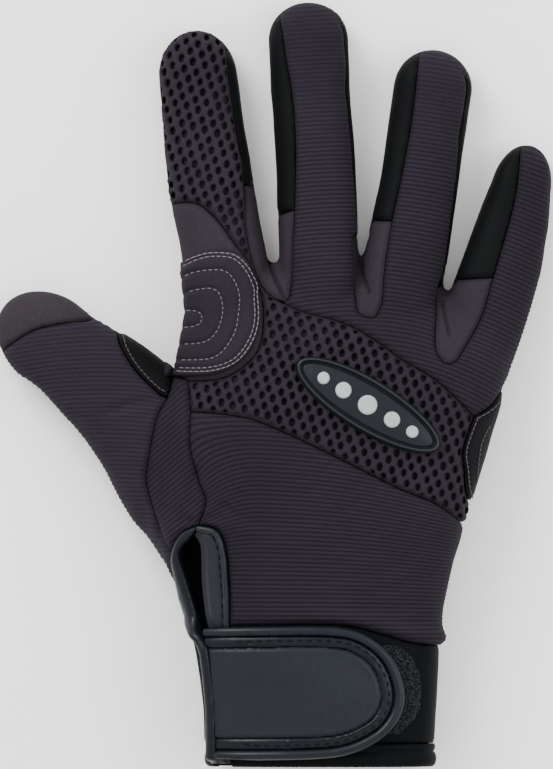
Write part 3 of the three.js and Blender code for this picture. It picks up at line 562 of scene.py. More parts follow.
def open_edges(triangles):
    """The directed edges that only one triangle has."""
    directed = np.vstack([triangles[:, [0, 1]], triangles[:, [1, 2]], triangles[:, [2, 0]]])
    size = directed.max() + 1
    forward = directed[:, 0].astype(np.int64) * size + directed[:, 1]
    backward = directed[:, 1].astype(np.int64) * size + directed[:, 0]
    return directed[~np.isin(forward, backward)]


# Where the hand's own frame lies in the frame of the solids
badge_low, badge_high = (np.array(corner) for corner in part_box("badge"))
shift = (badge_low + badge_high)[:2] / 2 * 1000 - on_hand(*BADGE_CENTRE)


def placed(points):
    moved = points.copy()
    moved[:, :2] += shift
    return moved / 1000


def new_object(name, points, faces, material, node=None, values=None):
    mesh = bpy.data.meshes.new(name)
    mesh.from_pydata(placed(points).tolist(), [], faces)
    mesh.polygons.foreach_set("use_smooth", [True] * len(mesh.polygons))
    for key, column in (values or {}).items():
        attribute = mesh.attributes.new(key, "FLOAT", "POINT")
        attribute.data.foreach_set("value", np.asarray(column, np.float32))
    piece = bpy.data.objects.new(name, mesh)
    bpy.context.scene.collection.objects.link(piece)
    mesh.materials.append(material)
    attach(piece, "root")
    if node:
        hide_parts(node)
    return piece


def thick(name, points, triangles, top, bottom, material, node, values=None):
    """A closed piece from a surface: its outer side at top, its inner side at bottom, both in mm."""
    outer = points[:, :3] + points[:, 3:6] * np.asarray(top)[:, None]
    inner = points[:, :3] + points[:, 3:6] * np.asarray(bottom)[:, None]
    rim = open_edges(triangles)
    count = len(points)
    sides = np.vstack([
        np.column_stack([rim[:, 1], rim[:, 0], rim[:, 0] + count]),
        np.column_stack([rim[:, 1], rim[:, 0] + count, rim[:, 1] + count]),
    ])
    faces = np.vstack([triangles, triangles[:, ::-1] + count, sides])
    # Where an edge attribute is given, the material paints shade where it is near zero.
    both = {key: np.concatenate([column, column]) for key, column in (values or {}).items()}
    title = f"{name}_surface" if node else name
    return new_object(title, np.vstack([outer, inner]), faces.tolist(), material, node, both)


def cut_panel(field_of, detail=0, margin=1.6):
    """The part of the skin where a field of x, y, z is below zero, finer by each step of detail."""
    field = field_of(skin[:, :3])
    near = skin_triangles[(field[skin_triangles] < margin).any(1)]
    points, triangles = compact(skin, near)
    for _ in range(detail):
        points, triangles = subdivide(points, triangles)
    points, triangles = clip(points, triangles, field_of(points[:, :3]))
    return points, triangles, -field_of(points[:, :3])


# Fields that limit the panels

def above_seam(points):
    return PALM_SEAM + SEAM_GAP / 2 - points[:, 2]


def outside_cuff(points):
    return -outline_field(points[:, :2], closed(cuff_top, cuff_corners))


def outside_slit(points):
    slit = outline_field(points[:, :2], closed(binding_left, binding_right[::-1]))
    return -np.maximum(slit, SLIT_SIDE - points[:, 2])


def back_field(outline, *others):
    def field(points):
        parts = [outline_field(points[:, :2], outline) + SEAM_GAP / 2, above_seam(points)]
        parts += [other(points) for other in (outside_cuff, outside_slit, *others)]
        return np.maximum.reduce(parts)
    return field


def seam_height(edge, puff=0.45, dip=0.75, reach=2.2):
    """Cloth height near a seam: sunk at the edge, puffed up beside it."""
    return puff * (1 - np.exp(-edge / reach)) - dip * np.exp(-((edge / 0.8) ** 2))


# Materials

def linear(*srgb):
    return [((c / 255 + 0.055) / 1.055) ** 2.4 if c > 10 else c / 255 / 12.92 for c in srgb] + [1]


def surface(name, colour, dark, rough, grain, bump, sheen=0.0, shine=0.1, patches=18, ribs=None,
            painted_edge_shade=0.35):
    """A cloth or leather: mottled colour, fine grain, painted shade that darkens the colour near seams, grooves and
    creases, where the edge attribute is near zero, and ribs where the piece has them.
    """
    material = bpy.data.materials.new(name)
    material.use_nodes = True
    tree = material.node_tree
    nodes, link = tree.nodes, tree.links.new
    shader = nodes["Principled BSDF"]
    shader.inputs["Roughness"].default_value = rough
    shader.inputs["Sheen Weight"].default_value = sheen
    shader.inputs["Sheen Roughness"].default_value = 0.5
    shader.inputs["Specular IOR Level"].default_value = shine
    place = nodes.new("ShaderNodeTexCoord")

    def noise_at(scale, detail):
        node = nodes.new("ShaderNodeTexNoise")
        node.inputs["Scale"].default_value = scale
        node.inputs["Detail"].default_value = detail
        link(place.outputs["Object"], node.inputs["Vector"])
        return node.outputs["Fac"]

    def ranged(value, low, high, to_low, to_high):
        node = nodes.new("ShaderNodeMapRange")
        for key, number in zip(("From Min", "From Max", "To Min", "To Max"), (low, high, to_low, to_high)):
            node.inputs[key].default_value = number
        link(value, node.inputs["Value"])
        return node.outputs["Result"]

    def math_of(kind, *values):
        node = nodes.new("ShaderNodeMath")
        node.operation = kind
        for socket, value in zip(node.inputs, values):
            if isinstance(value, (int, float)):
                socket.default_value = value
            else:
                link(value, socket)
        return node.outputs[0]

    def attribute(key):
        node = nodes.new("ShaderNodeAttribute")
        node.attribute_name = key
        return node.outputs["Fac"]

    fine = noise_at(grain, 3)
    tone_and_painted_shade = math_of("MULTIPLY", ranged(noise_at(patches, 4), 0.3, 0.7, 0.78, 1.16),
                    ranged(fine, 0.3, 0.7, 0.85, 1.12))
    # Painted shade: the colour darkens towards the dark colour where the edge attribute is near zero, at seams, panel
    # edges, hole walls, grooves and creases.
    painted_seam_shade = ranged(attribute("edge"), 0.0, 1.3, painted_edge_shade, 1.0)
    tone_and_painted_shade = math_of("MULTIPLY", tone_and_painted_shade, painted_seam_shade)
    height = math_of("MULTIPLY", fine, 1.0)
    if ribs:
        # Painted shade and light on the ribs: the colour darkens in each rib's groove, down to the ribs factor, and
        # lightens on its crest, less so where relief is low.
        wave = math_of("COSINE", math_of("MULTIPLY", attribute("rib"), 2 * math.pi))
        wave = math_of("MULTIPLY", wave, attribute("relief"))
        tone_and_painted_shade = math_of("MULTIPLY", tone_and_painted_shade, ranged(wave, -1.0, 0.5, ribs, 1.16))
    mix = nodes.new("ShaderNodeMix")
    mix.data_type = "RGBA"
    mix.inputs["A"].default_value = dark
    mix.inputs["B"].default_value = colour
    link(tone_and_painted_shade, mix.inputs["Factor"])
    mix.clamp_factor = False
    link(mix.outputs["Result"], shader.inputs["Base Color"])
    relief = nodes.new("ShaderNodeBump")
    relief.inputs["Strength"].default_value = bump
    relief.inputs["Distance"].default_value = 0.0003
    link(height, relief.inputs["Height"])
    link(relief.outputs["Normal"], shader.inputs["Normal"])
    return material


# Most materials darken towards BLACK. Their mottled tone and grain are their own colour; the darkening near seams,
# grooves and creases is painted shade.
BLACK = linear(3, 3, 4)
ribbed = surface("ribbed_fabric", linear(29, 24, 32), BLACK, 0.9, 2600, 0.35, sheen=0.01, ribs=0.48, painted_edge_shade=0.6)
ribbed_thumb = surface("thumb_fabric", linear(33, 27, 36), BLACK, 0.9, 2600, 0.35, sheen=0.01, ribs=0.7,
                       painted_edge_shade=0.6)
meshed = surface("mesh_fabric", linear(33, 27, 35), BLACK, 0.9, 3200, 0.5, sheen=0.01, painted_edge_shade=0.45)
grey_leather = surface("grey_leather", linear(38, 33, 39), BLACK, 0.8, 1500, 0.25, shine=0.05, painted_edge_shade=0.65)
pad_leather = surface("pad_leather", linear(33, 28, 35), BLACK, 0.8, 1500, 0.25, shine=0.05)
side_leather = surface("side_leather", linear(15, 13, 16), BLACK, 0.65, 1500, 0.3, shine=0.05)
palm_leather = surface("palm_leather", linear(41, 36, 41), BLACK, 0.8, 1300, 0.35, shine=0.05)
black_leather = surface("black_leather", linear(9, 10, 11), BLACK, 0.65, 1500, 0.3, shine=0.05)
cuff_cloth = surface("cuff_fabric", linear(8, 10, 12), BLACK, 0.55, 1100, 0.2, shine=0.03)
strap_cloth = surface("strap_fabric", linear(21, 24, 30), BLACK, 0.45, 900, 0.12, shine=0.15, patches=30)
strap_edge = surface("strap_edging", linear(11, 16, 23), BLACK, 0.35, 900, 0.15, shine=0.15, patches=60)
piping_cloth = surface("strap_piping_fabric", linear(17, 22, 28), BLACK, 0.35, 900, 0.15, shine=0.15, patches=60)
binding = surface("slit_binding", linear(19, 23, 29), BLACK, 0.4, 900, 0.15, shine=0.2, patches=60)
loop_cloth = surface("loop_fabric", linear(12, 14, 17), BLACK, 1.0, 1700, 1.0, sheen=0.02)
rubber = surface("badge_rubber", linear(21, 24, 29), linear(2, 2, 3), 0.4, 900, 0.08, shine=0.12)
rim_rubber = surface("badge_rim_rubber", linear(25, 28, 31), linear(14, 16, 18), 0.4, 900, 0.08, shine=0.2)
dot_rubber = surface("badge_dots_rubber", linear(150, 153, 154), linear(80, 80, 80), 0.5, 900, 0.05)
patch_thread = surface("patch_thread", linear(68, 62, 67), linear(20, 20, 20), 0.8, 4000, 0.3, painted_edge_shade=1.0)
fibre = surface("loop_fibres", linear(44, 48, 52), BLACK, 0.6, 4000, 0.2, painted_edge_shade=1.0)
lining = surface("mesh_lining", linear(33, 27, 35), BLACK, 1.0, 1500, 0.1, shine=0.0, painted_edge_shade=1.0)
thread = surface("thread", linear(98, 90, 96), linear(34, 34, 34), 0.8, 4000, 0.3, painted_edge_shade=1.0)
dark_thread = surface("dark_thread", linear(6, 7, 9), BLACK, 0.7, 4000, 0.3, painted_edge_shade=1.0)


# Ribs of the stretch fabric: how many ribs lie below each point

FINGER_RIB = 1.35
BACK_RIB = 1.4


def rib_upper(points):
    """Ribs across the fingers, which fan out from a point in the palm."""
    pivot = on_hand(0.15, 0.35)
    rel = points[:, :2] - pivot
    return np.hypot(rel[:, 0] * 0.92, rel[:, 1]) / FINGER_RIB


def rib_lower(points):
    """Ribs that lie level at the cuff, slope down to the right above it and bend into the slit's top."""
    x, y = points[:, 0], points[:, 1]
    right = np.clip(x + 20, 0, None)
    left = np.clip(-12 - x, 0, None)
    slope = 0.05 * right + 0.00004 * right ** 3
    return (y + slope * ramp(y, 40, 108) + 0.021 * left ** 2 * ramp(y, 56, 84) * (1 - ramp(y, 86, 112))) / BACK_RIB


def rib_thumb(points):
    """Ribs nearly level over the thumb, bowed a little downwards at its tip."""
    x, y = points[:, 0], points[:, 1]
    return (y + 0.0035 * (x + 62) ** 2) / FINGER_RIB


def rib_strip(points):
    return (points[:, 1] * 0.77 - points[:, 0] * 0.64) / FINGER_RIB


RIB_HEIGHT = 0.12


def folds(points, amount=1.0):
    """Broad soft unevenness of worn cloth."""
    return amount * (0.45 * noise(points[:, :3], 17, 3) + 0.22 * noise(points[:, :3], 7, 5))


# Creases: a line, how wide and how deep
CREASES = [
    (smooth(hand_line((-0.095, 1.054), (-0.086, 1.033), (-0.071, 1.004), (-0.046, 0.969))), 0.45, 1.5),
    (smooth(hand_line((0.187, 1.042), (0.196, 1.013), (0.212, 0.980))), 0.5, 0.9),
    (smooth(hand_line((0.439, 0.963), (0.448, 0.930), (0.460, 0.893))), 0.5, 0.9),
    (smooth(hand_line((-0.417, 0.763), (-0.473, 0.754), (-0.522, 0.746), (-0.577, 0.736))), 1.8, 0.9),
    (smooth(hand_line((-0.460, 0.612), (-0.470, 0.550), (-0.473, 0.488), (-0.454, 0.426))), 2.4, 0.8),
    (smooth(hand_line((-0.313, 0.612), (-0.338, 0.560), (-0.338, 0.508))), 1.8, 0.6),
    (smooth(hand_line((-0.230, 0.539), (-0.175, 0.515), (-0.117, 0.506))), 1.6, 0.7),
    (smooth(hand_line((-0.798, 0.798), (-0.737, 0.773), (-0.691, 0.761))), 1.2, 0.5),
    (smooth(hand_line((-0.730, 0.752), (-0.681, 0.732), (-0.645, 0.723))), 1.2, 0.5),
    (smooth(hand_line((-0.688, 0.715), (-0.645, 0.694), (-0.602, 0.690))), 1.2, 0.5),
]


def creased(points):
    total = np.zeros(len(points))
    for line, width, depth in CREASES:
        total -= depth * np.exp(-((line_distance(points[:, :2], line) / width) ** 2))
    return total


def ribbed_panel(name, field_of, rib_of, extra=None, material=ribbed):
    points, triangles, edge = cut_panel(field_of)
    points, triangles = slice_at_levels(points, triangles, lambda p: 2 * rib_of(p[:, :3]))
    edge = -field_of(points[:, :3])
    rib = rib_of(points[:, :3])
    top = seam_height(edge, dip=0.55) + folds(points) + creased(points)
    # Relief lowers the ribs towards the finger tips, both their height and their painted shade and light.
    relief = 1 - 0.5 * ramp(points[:, 1], 180, 212)
    top += RIB_HEIGHT * relief * np.cos(2 * np.pi * rib) * ramp(edge, 0.1, 0.9)
    if extra:
        top += extra(points)
    return thick(name, points, triangles, top, np.full(len(points), -WALL), material, name,
                 {"rib": rib, "relief": relief, "edge": edge})


def plain_panel(name, field_of, material, puff=0.35, dip=0.55, detail=0, seat=-WALL, rise=0.0, extra=None):
    points, triangles, edge = cut_panel(field_of, detail)
    top = rise + seam_height(edge, puff, dip) + folds(points, 0.6) + creased(points)
    if extra:
        top += extra(points)
    # Painted shade: the edge attribute also falls along the first three creases, so the colour darkens in them.
    edge = np.minimum(edge, np.min([line_distance(points[:, :2], line) * 1.6 for line, _, _ in CREASES[:3]], 0))
    return thick(name, points, triangles, top, np.full(len(points), seat), material, name, {"edge": edge})


# Side strips of the middle and ring fingers

def strip_outline(name, start):
    return finger_line(name, (start, 0.45), (0.93, 0.45), (0.93, 1.60), (start, 1.60))


def strip_field(name, start):
    def field(points):
        return np.maximum.reduce([
            outline_field(points[:, :2], strip_outline(name, start)),
            points[:, 2] - SIDE_SEAM, above_seam(points),
        ])
    return field


middle_strip, ring_strip = strip_field("middle", 0.28), strip_field("ring", 0.27)


def off_strips(points):
    return -np.minimum(middle_strip(points), ring_strip(points)) + SEAM_GAP


# The panels

upper_outline = closed(
    middle_seam, on_finger("middle", 1.20, 1.30), on_finger("middle", 0.28, 1.25), ring_gusset_end,
    ring_seam[1:], on_finger("ring", 1.20, 1.30), on_finger("ring", 0.40, 1.20), little_gusset_end,
    little_seam[1:], on_finger("little", 1.20, 1.80), on_finger("little", 0.10, 1.60),
    side_patch_top[::-1], mesh_top[::-1][1:], index_gusset_end[3])
mesh_outline = closed(
    index_seam[::-1], index_gusset_end[1], mesh_top, side_patch_edge[1:], mesh_bottom[::-1][:-1],
    spans(strip_right, 0, 1)[::-1], side_panel_edge[::-1][1:], on_finger("index", 1.20, -1.60))
lower_outline = closed(mesh_bottom, right_of_palm, cuff_corners[0], binding_right[::-1],
                       spans(strip_right, 1)[::-1][1:])
side_panel_outline = closed(side_panel_edge, side_panel_foot[1:], hand_line((-0.430, 1.150)))
strip_outline_all = closed(strip_left, spans(binding_left, 0, 2)[::-1], strip_right[::-1], side_panel_foot[1])
web_outline = closed(web_patch_edge, spans(strip_left, 0, 1)[::-1], side_panel_foot[2])
thumb_outline = closed(web_patch_edge, spans(strip_left, 1), spans(binding_left, 2)[1:],
                       hand_line((-0.800, CUFF_TOP)), on_finger("thumb", 1.25, -2.0), thumb_tip_edge)
side_patch_outline = closed(side_patch_top[::-1], side_patch_edge[1:], right_of_palm)
tip_outline = closed(thumb_tip_edge, finger_line("thumb", (1.3, 1.6), (1.3, -1.6)))
thumb_under_outline = closed(thumb_root_seam, finger_line("thumb", (0.2, -3.2), (1.3, -2.2), (1.3, 2.0),
                                                          (0.5, 2.0)))


def strip_between(name, painted_seam_shade, first_span, corner, side):
    return closed(spans(painted_seam_shade, first_span), finger_line(name, (1.20, 1.5 * side), (0.60, 1.2 * side)), corner)


fourchettes = {
    "index_fourchette": strip_between("index", index_seam, 3, index_gusset_top[1], 1),
    "middle_fourchette": strip_between("middle", middle_seam, 2, index_gusset_top[2], -1),
    "ring_fourchette": strip_between("ring", ring_seam, 2, ring_gusset_top[2], -1),
    "little_fourchette": strip_between("little", little_seam, 2, little_gusset_top[1], -1),
}
gussets = {
    "index_gusset": closed(spans(index_seam, 0, 3)[::-1], index_gusset_end[1:], spans(middle_seam, 0, 2)[1:],
                           index_gusset_top[::-1]),
    "ring_gusset": closed(ring_gusset_end, spans(ring_seam, 0, 2)[1:], ring_gusset_top[::-1]),
    "little_gusset": closed(little_gusset_end, spans(little_seam, 0, 2)[1:], little_gusset_top[::-1]),
}


def cuff_puff(points):
    """The ribbed back swells over the cuff's top edge."""
    gap = line_distance(points[:, :2], cuff_top)
    right = ramp(points[:, 0], 5, 40)
    return (0.6 + 1.0 * right) * np.exp(-(((gap - 2.2) / 2.6) ** 2))


def slit_bunch(points):
    """Folds that run together at the top of the slit."""
    apex = on_hand(-0.300, 0.505)
    rel = points[:, :2] - apex
    distance = np.hypot(*rel.T)
    angle = np.arctan2(rel[:, 1], rel[:, 0])
    return 0.7 * np.cos(angle * 5 + 0.8) * np.exp(-distance / 9) * ramp(distance, 0.5, 4)


ribbed_panel("upper_back", back_field(upper_outline, off_strips), rib_upper)
ribbed_panel("lower_back", back_field(lower_outline), rib_lower,
             extra=lambda p: cuff_puff(p) + slit_bunch(p))
ribbed_panel("thumb_back", back_field(thumb_outline), rib_thumb, material=ribbed_thumb)
ribbed_panel("thumb_strip", back_field(strip_outline_all), rib_strip, extra=slit_bunch)
plain_panel("index_side_panel", back_field(side_panel_outline), grey_leather)
plain_panel("thumb_web_patch", back_field(web_outline), black_leather, rise=0.5)
plain_panel("side_patch", back_field(side_patch_outline), side_leather, rise=0.5)
for name, outline in fourchettes.items():
    plain_panel(name, back_field(outline), black_leather)
for name, outline in gussets.items():
    plain_panel(name, back_field(outline), grey_leather, puff=0.2, detail=1)
plain_panel("middle_side", middle_strip, black_leather, dip=0.3)
plain_panel("ring_side", ring_strip, black_leather, dip=0.3)


def palm_field(points):
    thumb = outline_field(points[:, :2], thumb_under_outline)
    return np.maximum.reduce([points[:, 2] - PALM_SEAM + SEAM_GAP / 2, SEAM_GAP / 2 - thumb,
                              outside_cuff(points)])


def thumb_front_field(points):
    under = np.maximum(points[:, 2] - PALM_SEAM + SEAM_GAP / 2,
                       outline_field(points[:, :2], thumb_under_outline) + SEAM_GAP / 2)
    tip = outline_field(points[:, :2], tip_outline) + SEAM_GAP / 2
    return np.maximum(np.minimum(under, tip), outside_cuff(points))


def flat_below(points):
    """No puffing where the leather rests on the surface."""
    return ramp(points[:, 2], 0.3, 4.0)


def leather_panel(name, field_of):
    points, triangles, edge = cut_panel(field_of)
    free = flat_below(points)
    top = (seam_height(edge, 0.3, 0.5) + folds(points, 0.6)) * free
    return thick(name, points, triangles, top, np.full(len(points), -WALL), palm_leather, name,
                 {"edge": edge})


leather_panel("palm_panel", palm_field)
leather_panel("thumb_front", thumb_front_field)


# Air mesh: holes in staggered rows

MESH_PITCH = 3.75
MESH_ROWS = 2.75
MESH_TILT = math.radians(-16)
MESH_HOLE = (0.88, 1.22)
mesh_random = np.random.default_rng(8).uniform(-1, 1, (3, 64, 64))


def hole_distance(flat):
    """Roughly the distance outside the nearest hole. The holes are upright ovals in staggered rows."""
    c, s = math.cos(MESH_TILT), math.sin(MESH_TILT)
    u, v = flat[:, 0] * c + flat[:, 1] * s, flat[:, 1] * c - flat[:, 0] * s
    nearest = np.full(len(flat), 1e9)
    base = np.floor(v / MESH_ROWS).astype(int)
    for row in (base, base + 1):
        offset = np.where(row % 2 == 0, 0, 0.5)
        column = np.round(u / MESH_PITCH - offset).astype(int)
        stray = mesh_random[:, row % 64, column % 64]
        du = u - (column + offset) * MESH_PITCH - 0.22 * stray[0]
        dv = v - row * MESH_ROWS - 0.18 * stray[1]
        reach = np.hypot((du + 0.12 * dv) / MESH_HOLE[0], dv / MESH_HOLE[1])
        nearest = np.minimum(nearest, (reach - 1 + 0.08 * stray[2]))
    return nearest


mesh_field_base = back_field(mesh_outline)


def mesh_field(points):
    edge = mesh_field_base(points)
    holes = -hole_distance(points[:, :2])
    solid = np.maximum(-edge - 0.0, 0)
    near_edge = solid < 0.8
    near_edge |= (points[:, 0] > 40) & (points[:, 2] < 14)
    return np.maximum(edge, np.where(near_edge, -0.2, holes))


def make_mesh_back():
    points, triangles, _ = cut_panel(mesh_field, 1)
    edge = -mesh_field_base(points[:, :3])
    ring = hole_distance(points[:, :2])
    top = 0.2 + seam_height(edge, 0.4) + folds(points, 0.8) - 0.35 * np.exp(-((ring / 0.4) ** 2))
    # Painted shade: the edge attribute also falls near each hole, so the colour darkens around the hole walls.
    thick("mesh_back", points, triangles, top, np.full(len(points), -0.7), meshed, "mesh_back",
          {"edge": np.minimum(edge, 0.35 + ring * 2.2)})
    points, triangles, edge = cut_panel(mesh_field_base)
    thick("mesh_lining", points, triangles, np.full(len(points), -1.15), np.full(len(points), -1.6),
          lining, None, {"edge": edge})


make_mesh_back()


# Padded patch over the index knuckle

PAD_SEAT = 0.9
PAD_RISE = 1.9


def pad_field(points):
    return np.maximum(outline_field(points[:, :2], pad_outline), PALM_SEAM + 3.4 - points[:, 2])


def pad_height(points, edge):
    swell = PAD_RISE * np.sqrt(np.clip(1 - (1 - np.clip(edge / 2.0, 0, 1)) ** 2, 0, 1))
    for line in pad_stitch_lines:
        swell = swell - 0.75 * np.exp(-((line_distance(points[:, :2], line) / 0.7) ** 2))
    return PAD_SEAT + swell * (0.3 + 0.7 * ramp(points[:, 5], 0.05, 0.75))


points, triangles, edge = cut_panel(pad_field, 1)
pad = thick("knuckle_patch", points, triangles, pad_height(points, edge), np.full(len(points), PAD_SEAT - 0.3),
            pad_leather, "knuckle_patch", {"edge": edge + 0.6})


# Badge: domed rubber oval with a raised rim and a plain row of dots

def badge_place(points):
    rel = points[:, :2] - on_hand(*BADGE_CENTRE)
    c, s = math.cos(BADGE_TILT), math.sin(BADGE_TILT)
    return rel[:, 0] * c + rel[:, 1] * s, rel[:, 1] * c - rel[:, 0] * s


def badge_field(points):
    """Roughly the distance outside the badge's oval."""
    u, v = badge_place(points)
    a, b = BADGE_LENGTH / 2, BADGE_WIDTH / 2
    reach = np.hypot(u / a, v / b).clip(1e-6)
    slope = np.hypot(u / a ** 2, v / b ** 2).clip(1e-6) / reach
    return np.maximum((reach - 1) / slope, 15 - points[:, 2])


BADGE_DOTS = [(-0.62, 1.9), (-0.34, 2.5), (0.0, 3.0), (0.34, 2.5), (0.62, 1.9)]


def make_badge():
    points, triangles, edge = cut_panel(badge_field, 2, 3)
    rim = np.exp(-(((edge - 1.0) / 0.62) ** 4))
    groove = np.exp(-(((edge - 2.1) / 0.4) ** 2))
    face = ramp(edge, 0, 0.9)
    top = 0.9 + 1.0 * face + 0.75 * rim - 0.55 * groove + 0.25 * ramp(edge, 2.5, 7)
    # Painted shade: the edge attribute falls at the outline and in the groove inside the rim, so the colour darkens
    # there.
    thick("badge", points, triangles, top, np.full(len(points), 0.35), rubber, "badge",
          {"edge": np.minimum(edge * 0.8, np.abs(edge - 2.1) * 1.8)})
    field = lambda p: np.maximum(np.abs(-badge_field(p) - 1.15) - 0.3, 15 - p[:, 2])
    points, triangles, edge = cut_panel(field, 2, 3)
    thick("badge_rim", points, triangles, 2.72 + 0.12 * ramp(edge, 0, 0.4), np.full(len(points), 2.4), rim_rubber,
          None, {"edge": edge + 1})
    for i, (share, radius) in enumerate(BADGE_DOTS):
        def dot(p, share=share, radius=radius):
            u, v = badge_place(p)
            return np.maximum(np.hypot(u - share * BADGE_LENGTH / 2, v) - radius, 15 - p[:, 2])
        points, triangles, edge = cut_panel(dot, 2, 3)
        swell = 2.1 + 0.65 * np.sqrt(np.clip(1 - (1 - np.clip(edge / 0.6, 0, 1)) ** 2, 0, 1))
        thick(f"badge_dot_{i + 1}", points, triangles, swell, np.full(len(points), 1.9), dot_rubber, None,
              {"edge": edge + 1})


make_badge()


# Wrist: cuff, hem, bindings of the slit

def cuff_area(points):
    return np.maximum(outline_field(points[:, :2], closed(cuff_top, cuff_corners)) + SEAM_GAP / 2,
                      outside_slit(points))


def cuff_field(points):
    return np.maximum(cuff_area(points), HEM_HEIGHT + SEAM_GAP / 2 - points[:, 1])


def hem_field(points):
    return np.maximum.reduce([cuff_area(points), points[:, 1] - HEM_HEIGHT + SEAM_GAP / 2, -points[:, 1]])


# A rolled seam down the cuff beside the strap's end
cuff_roll = smooth(hand_line((-0.345, 0.355), (-0.321, 0.279), (-0.308, 0.246), (-0.292, 0.180),
                             (-0.281, 0.114), (-0.280, 0.050), (-0.280, -0.030)))


def make_cuff():
    points, triangles, edge = cut_panel(cuff_field)
    free = flat_below(points)
    roll = line_distance(points[:, :2], cuff_roll)
    top = (-0.25 + seam_height(edge, 0.2, 0.3) + folds(points, 0.5)) * free
    top += 0.9 * np.sqrt(np.clip(1 - (roll / 1.1) ** 2, 0, 1)) - 0.4 * np.exp(-(((roll - 1.5) / 0.4) ** 2))
    thick("cuff_band", points, triangles, top, np.full(len(points), -WALL - 0.1), cuff_cloth, "cuff_band",
          {"edge": edge})
    points, triangles, edge = cut_panel(hem_field, 1)
    y = points[:, 1]
    rolls = np.maximum(1.3 * np.sqrt(np.clip(1 - ((y - 2.4) / 2.4) ** 2, 0, 1)),
                       0.8 * np.sqrt(np.clip(1 - ((y - 6.0) / 1.3) ** 2, 0, 1)))
    top = (rolls - 0.5) * flat_below(points)
    thick("cuff_hem", points, triangles, top, np.full(len(points), -WALL - 0.3), cuff_cloth, "cuff_hem",
          {"edge": edge + 0.5})


make_cuff()


def half_binding_field(outer, inner):
    """One side of the slit: between its outer edge and the hole, on its own side of the apex."""
    outline = closed(outer, inner[::-1])

    def field(points):
        return np.maximum.reduce([outline_field(points[:, :2], outline) + SEAM_GAP / 2,
                                  SLIT_SIDE + 0.4 - points[:, 2], 1.0 - points[:, 1]])
    return field


def make_bindings():
    field = half_binding_field(binding_left, slit_left)
    points, triangles, edge = cut_panel(field, 1)
    to_hole = line_distance(points[:, :2], slit_left)
    to_cloth = line_distance(points[:, :2], binding_left)
    share = to_hole / (to_hole + to_cloth + 1e-6)
    along = points[:, 1] / HAND_LENGTH
    over_strap = 3.4 * (1 - ramp(along, 0.270, 0.318))
    top = -0.3 + (over_strap + 2.1 * np.sqrt(np.clip(1 - (2 * share - 1) ** 2, 0, 1)) ** 0.8) * (
        0.4 + 0.6 * ramp(points[:, 1], 1.0, 3.0)) + 0.25 * noise(points[:, :3], 4, 31)
    thick("slit_binding_left", points, triangles, top, np.full(len(points), -WALL - 0.6), strap_edge,
          "slit_binding_left", {"edge": edge + 0.4})
    field = half_binding_field(binding_right, slit_right)
    points, triangles, edge = cut_panel(field, 1)
    to_cloth = line_distance(points[:, :2], binding_right)
    to_hole = line_distance(points[:, :2], slit_right)
    piping = 1.7 * np.sqrt(np.clip(1 - ((to_cloth - 1.05) / 1.05) ** 2, 0, 1))
    facing = 0.5 * ramp(to_cloth, 2.2, 3.0) - 1.3 * (1 - ramp(to_hole, 0, 2.6))
    top = -0.35 + np.maximum(piping, facing)
    # Painted shade: the edge attribute also falls along the stitched groove between the piping and the facing, so the
    # colour darkens there.
    thick("slit_binding_right", points, triangles, top, np.full(len(points), -WALL - 0.9), binding,
          "slit_binding_right", {"edge": np.minimum(edge + 0.4, 0.2 + np.abs(to_cloth - 2.25) * 1.6)})


make_bindings()


# Hook-and-loop fastening

STRAP_SEAT = 1.85


def strap_depth(points):
    return -outline_field(points[:, :2], strap_rim)


def run_depth(points):
    """Depth from the strap's long edges and its round end, but not from its end at the slit."""
    return -outline_field(points[:, :2], strap_run)


def strap_part(low, high):
    return lambda p: np.maximum.reduce([low - run_depth(p), run_depth(p) - high, -strap_depth(p),
                                        SLIT_SIDE - p[:, 2]])


def make_strap():
    def loop(p):
        return np.maximum.reduce([outline_field(p[:, :2], loop_rim), SLIT_SIDE - p[:, 2]])
    points, triangles, edge = cut_panel(loop, 1)
    fuzz = 0.22 * noise(points[:, :3], 0.9, 11) + 0.25 * noise(points[:, :3], 1.9, 12)
    top = 0.9 + 0.5 * ramp(edge, 0, 1.2) + fuzz
    thick("loop_patch", points, triangles, top, np.full(len(points), 0.3), loop_cloth, "loop_patch",
          {"edge": edge + 0.5})
    points, triangles, edge = cut_panel(strap_part(0, 3.2), 1)
    tube = 2.2 * np.sqrt(np.clip(1 - ((run_depth(points) - 1.6) / 1.7) ** 2, 0, 1))
    thick("strap_piping", points, triangles, STRAP_SEAT + 0.4 + tube + 0.12 * noise(points[:, :3], 5, 21),
          np.full(len(points), STRAP_SEAT), piping_cloth, "strap_piping", {"edge": edge + 0.3})
    points, triangles, edge = cut_panel(strap_part(3.35, 90), 1)
    depth = run_depth(points)
    flange = 1.3 + 0.5 * np.sin(np.clip((depth - 3.4) / 2.6, 0, 1) * math.pi) ** 0.7
    ridge = 0.8 * np.exp(-(((depth - 6.1) / 0.45) ** 2))
    top = STRAP_SEAT + np.where(depth < 6.0, flange, 1.0) + ridge + 0.08 * noise(points[:, :3], 4, 22)
    # Painted shade: the edge attribute also falls along a line just inside the ridge, at depth 5.6, so the colour
    # darkens there.
    thick("wrist_strap", points, triangles, top, np.full(len(points), STRAP_SEAT), strap_edge, "wrist_strap",
          {"edge": np.minimum(edge + 0.3, 0.25 + np.abs(depth - 5.6))})
    points, triangles, edge = cut_panel(
        lambda p: np.maximum.reduce([6.7 - run_depth(p), 0.5 - strap_depth(p), SLIT_SIDE - p[:, 2]]), 1)
    top = STRAP_SEAT + 1.4 + 0.8 * ramp(edge, 0, 1.0) + 0.3 * ramp(edge, 2, 9) + 0.1 * noise(points[:, :3], 9, 23)
    thick("strap_panel", points, triangles, top, np.full(len(points), STRAP_SEAT + 1.2), strap_cloth,
          "strap_panel", {"edge": edge + 0.35})


make_strap()


# Stitches: small rounded bars laid along lines

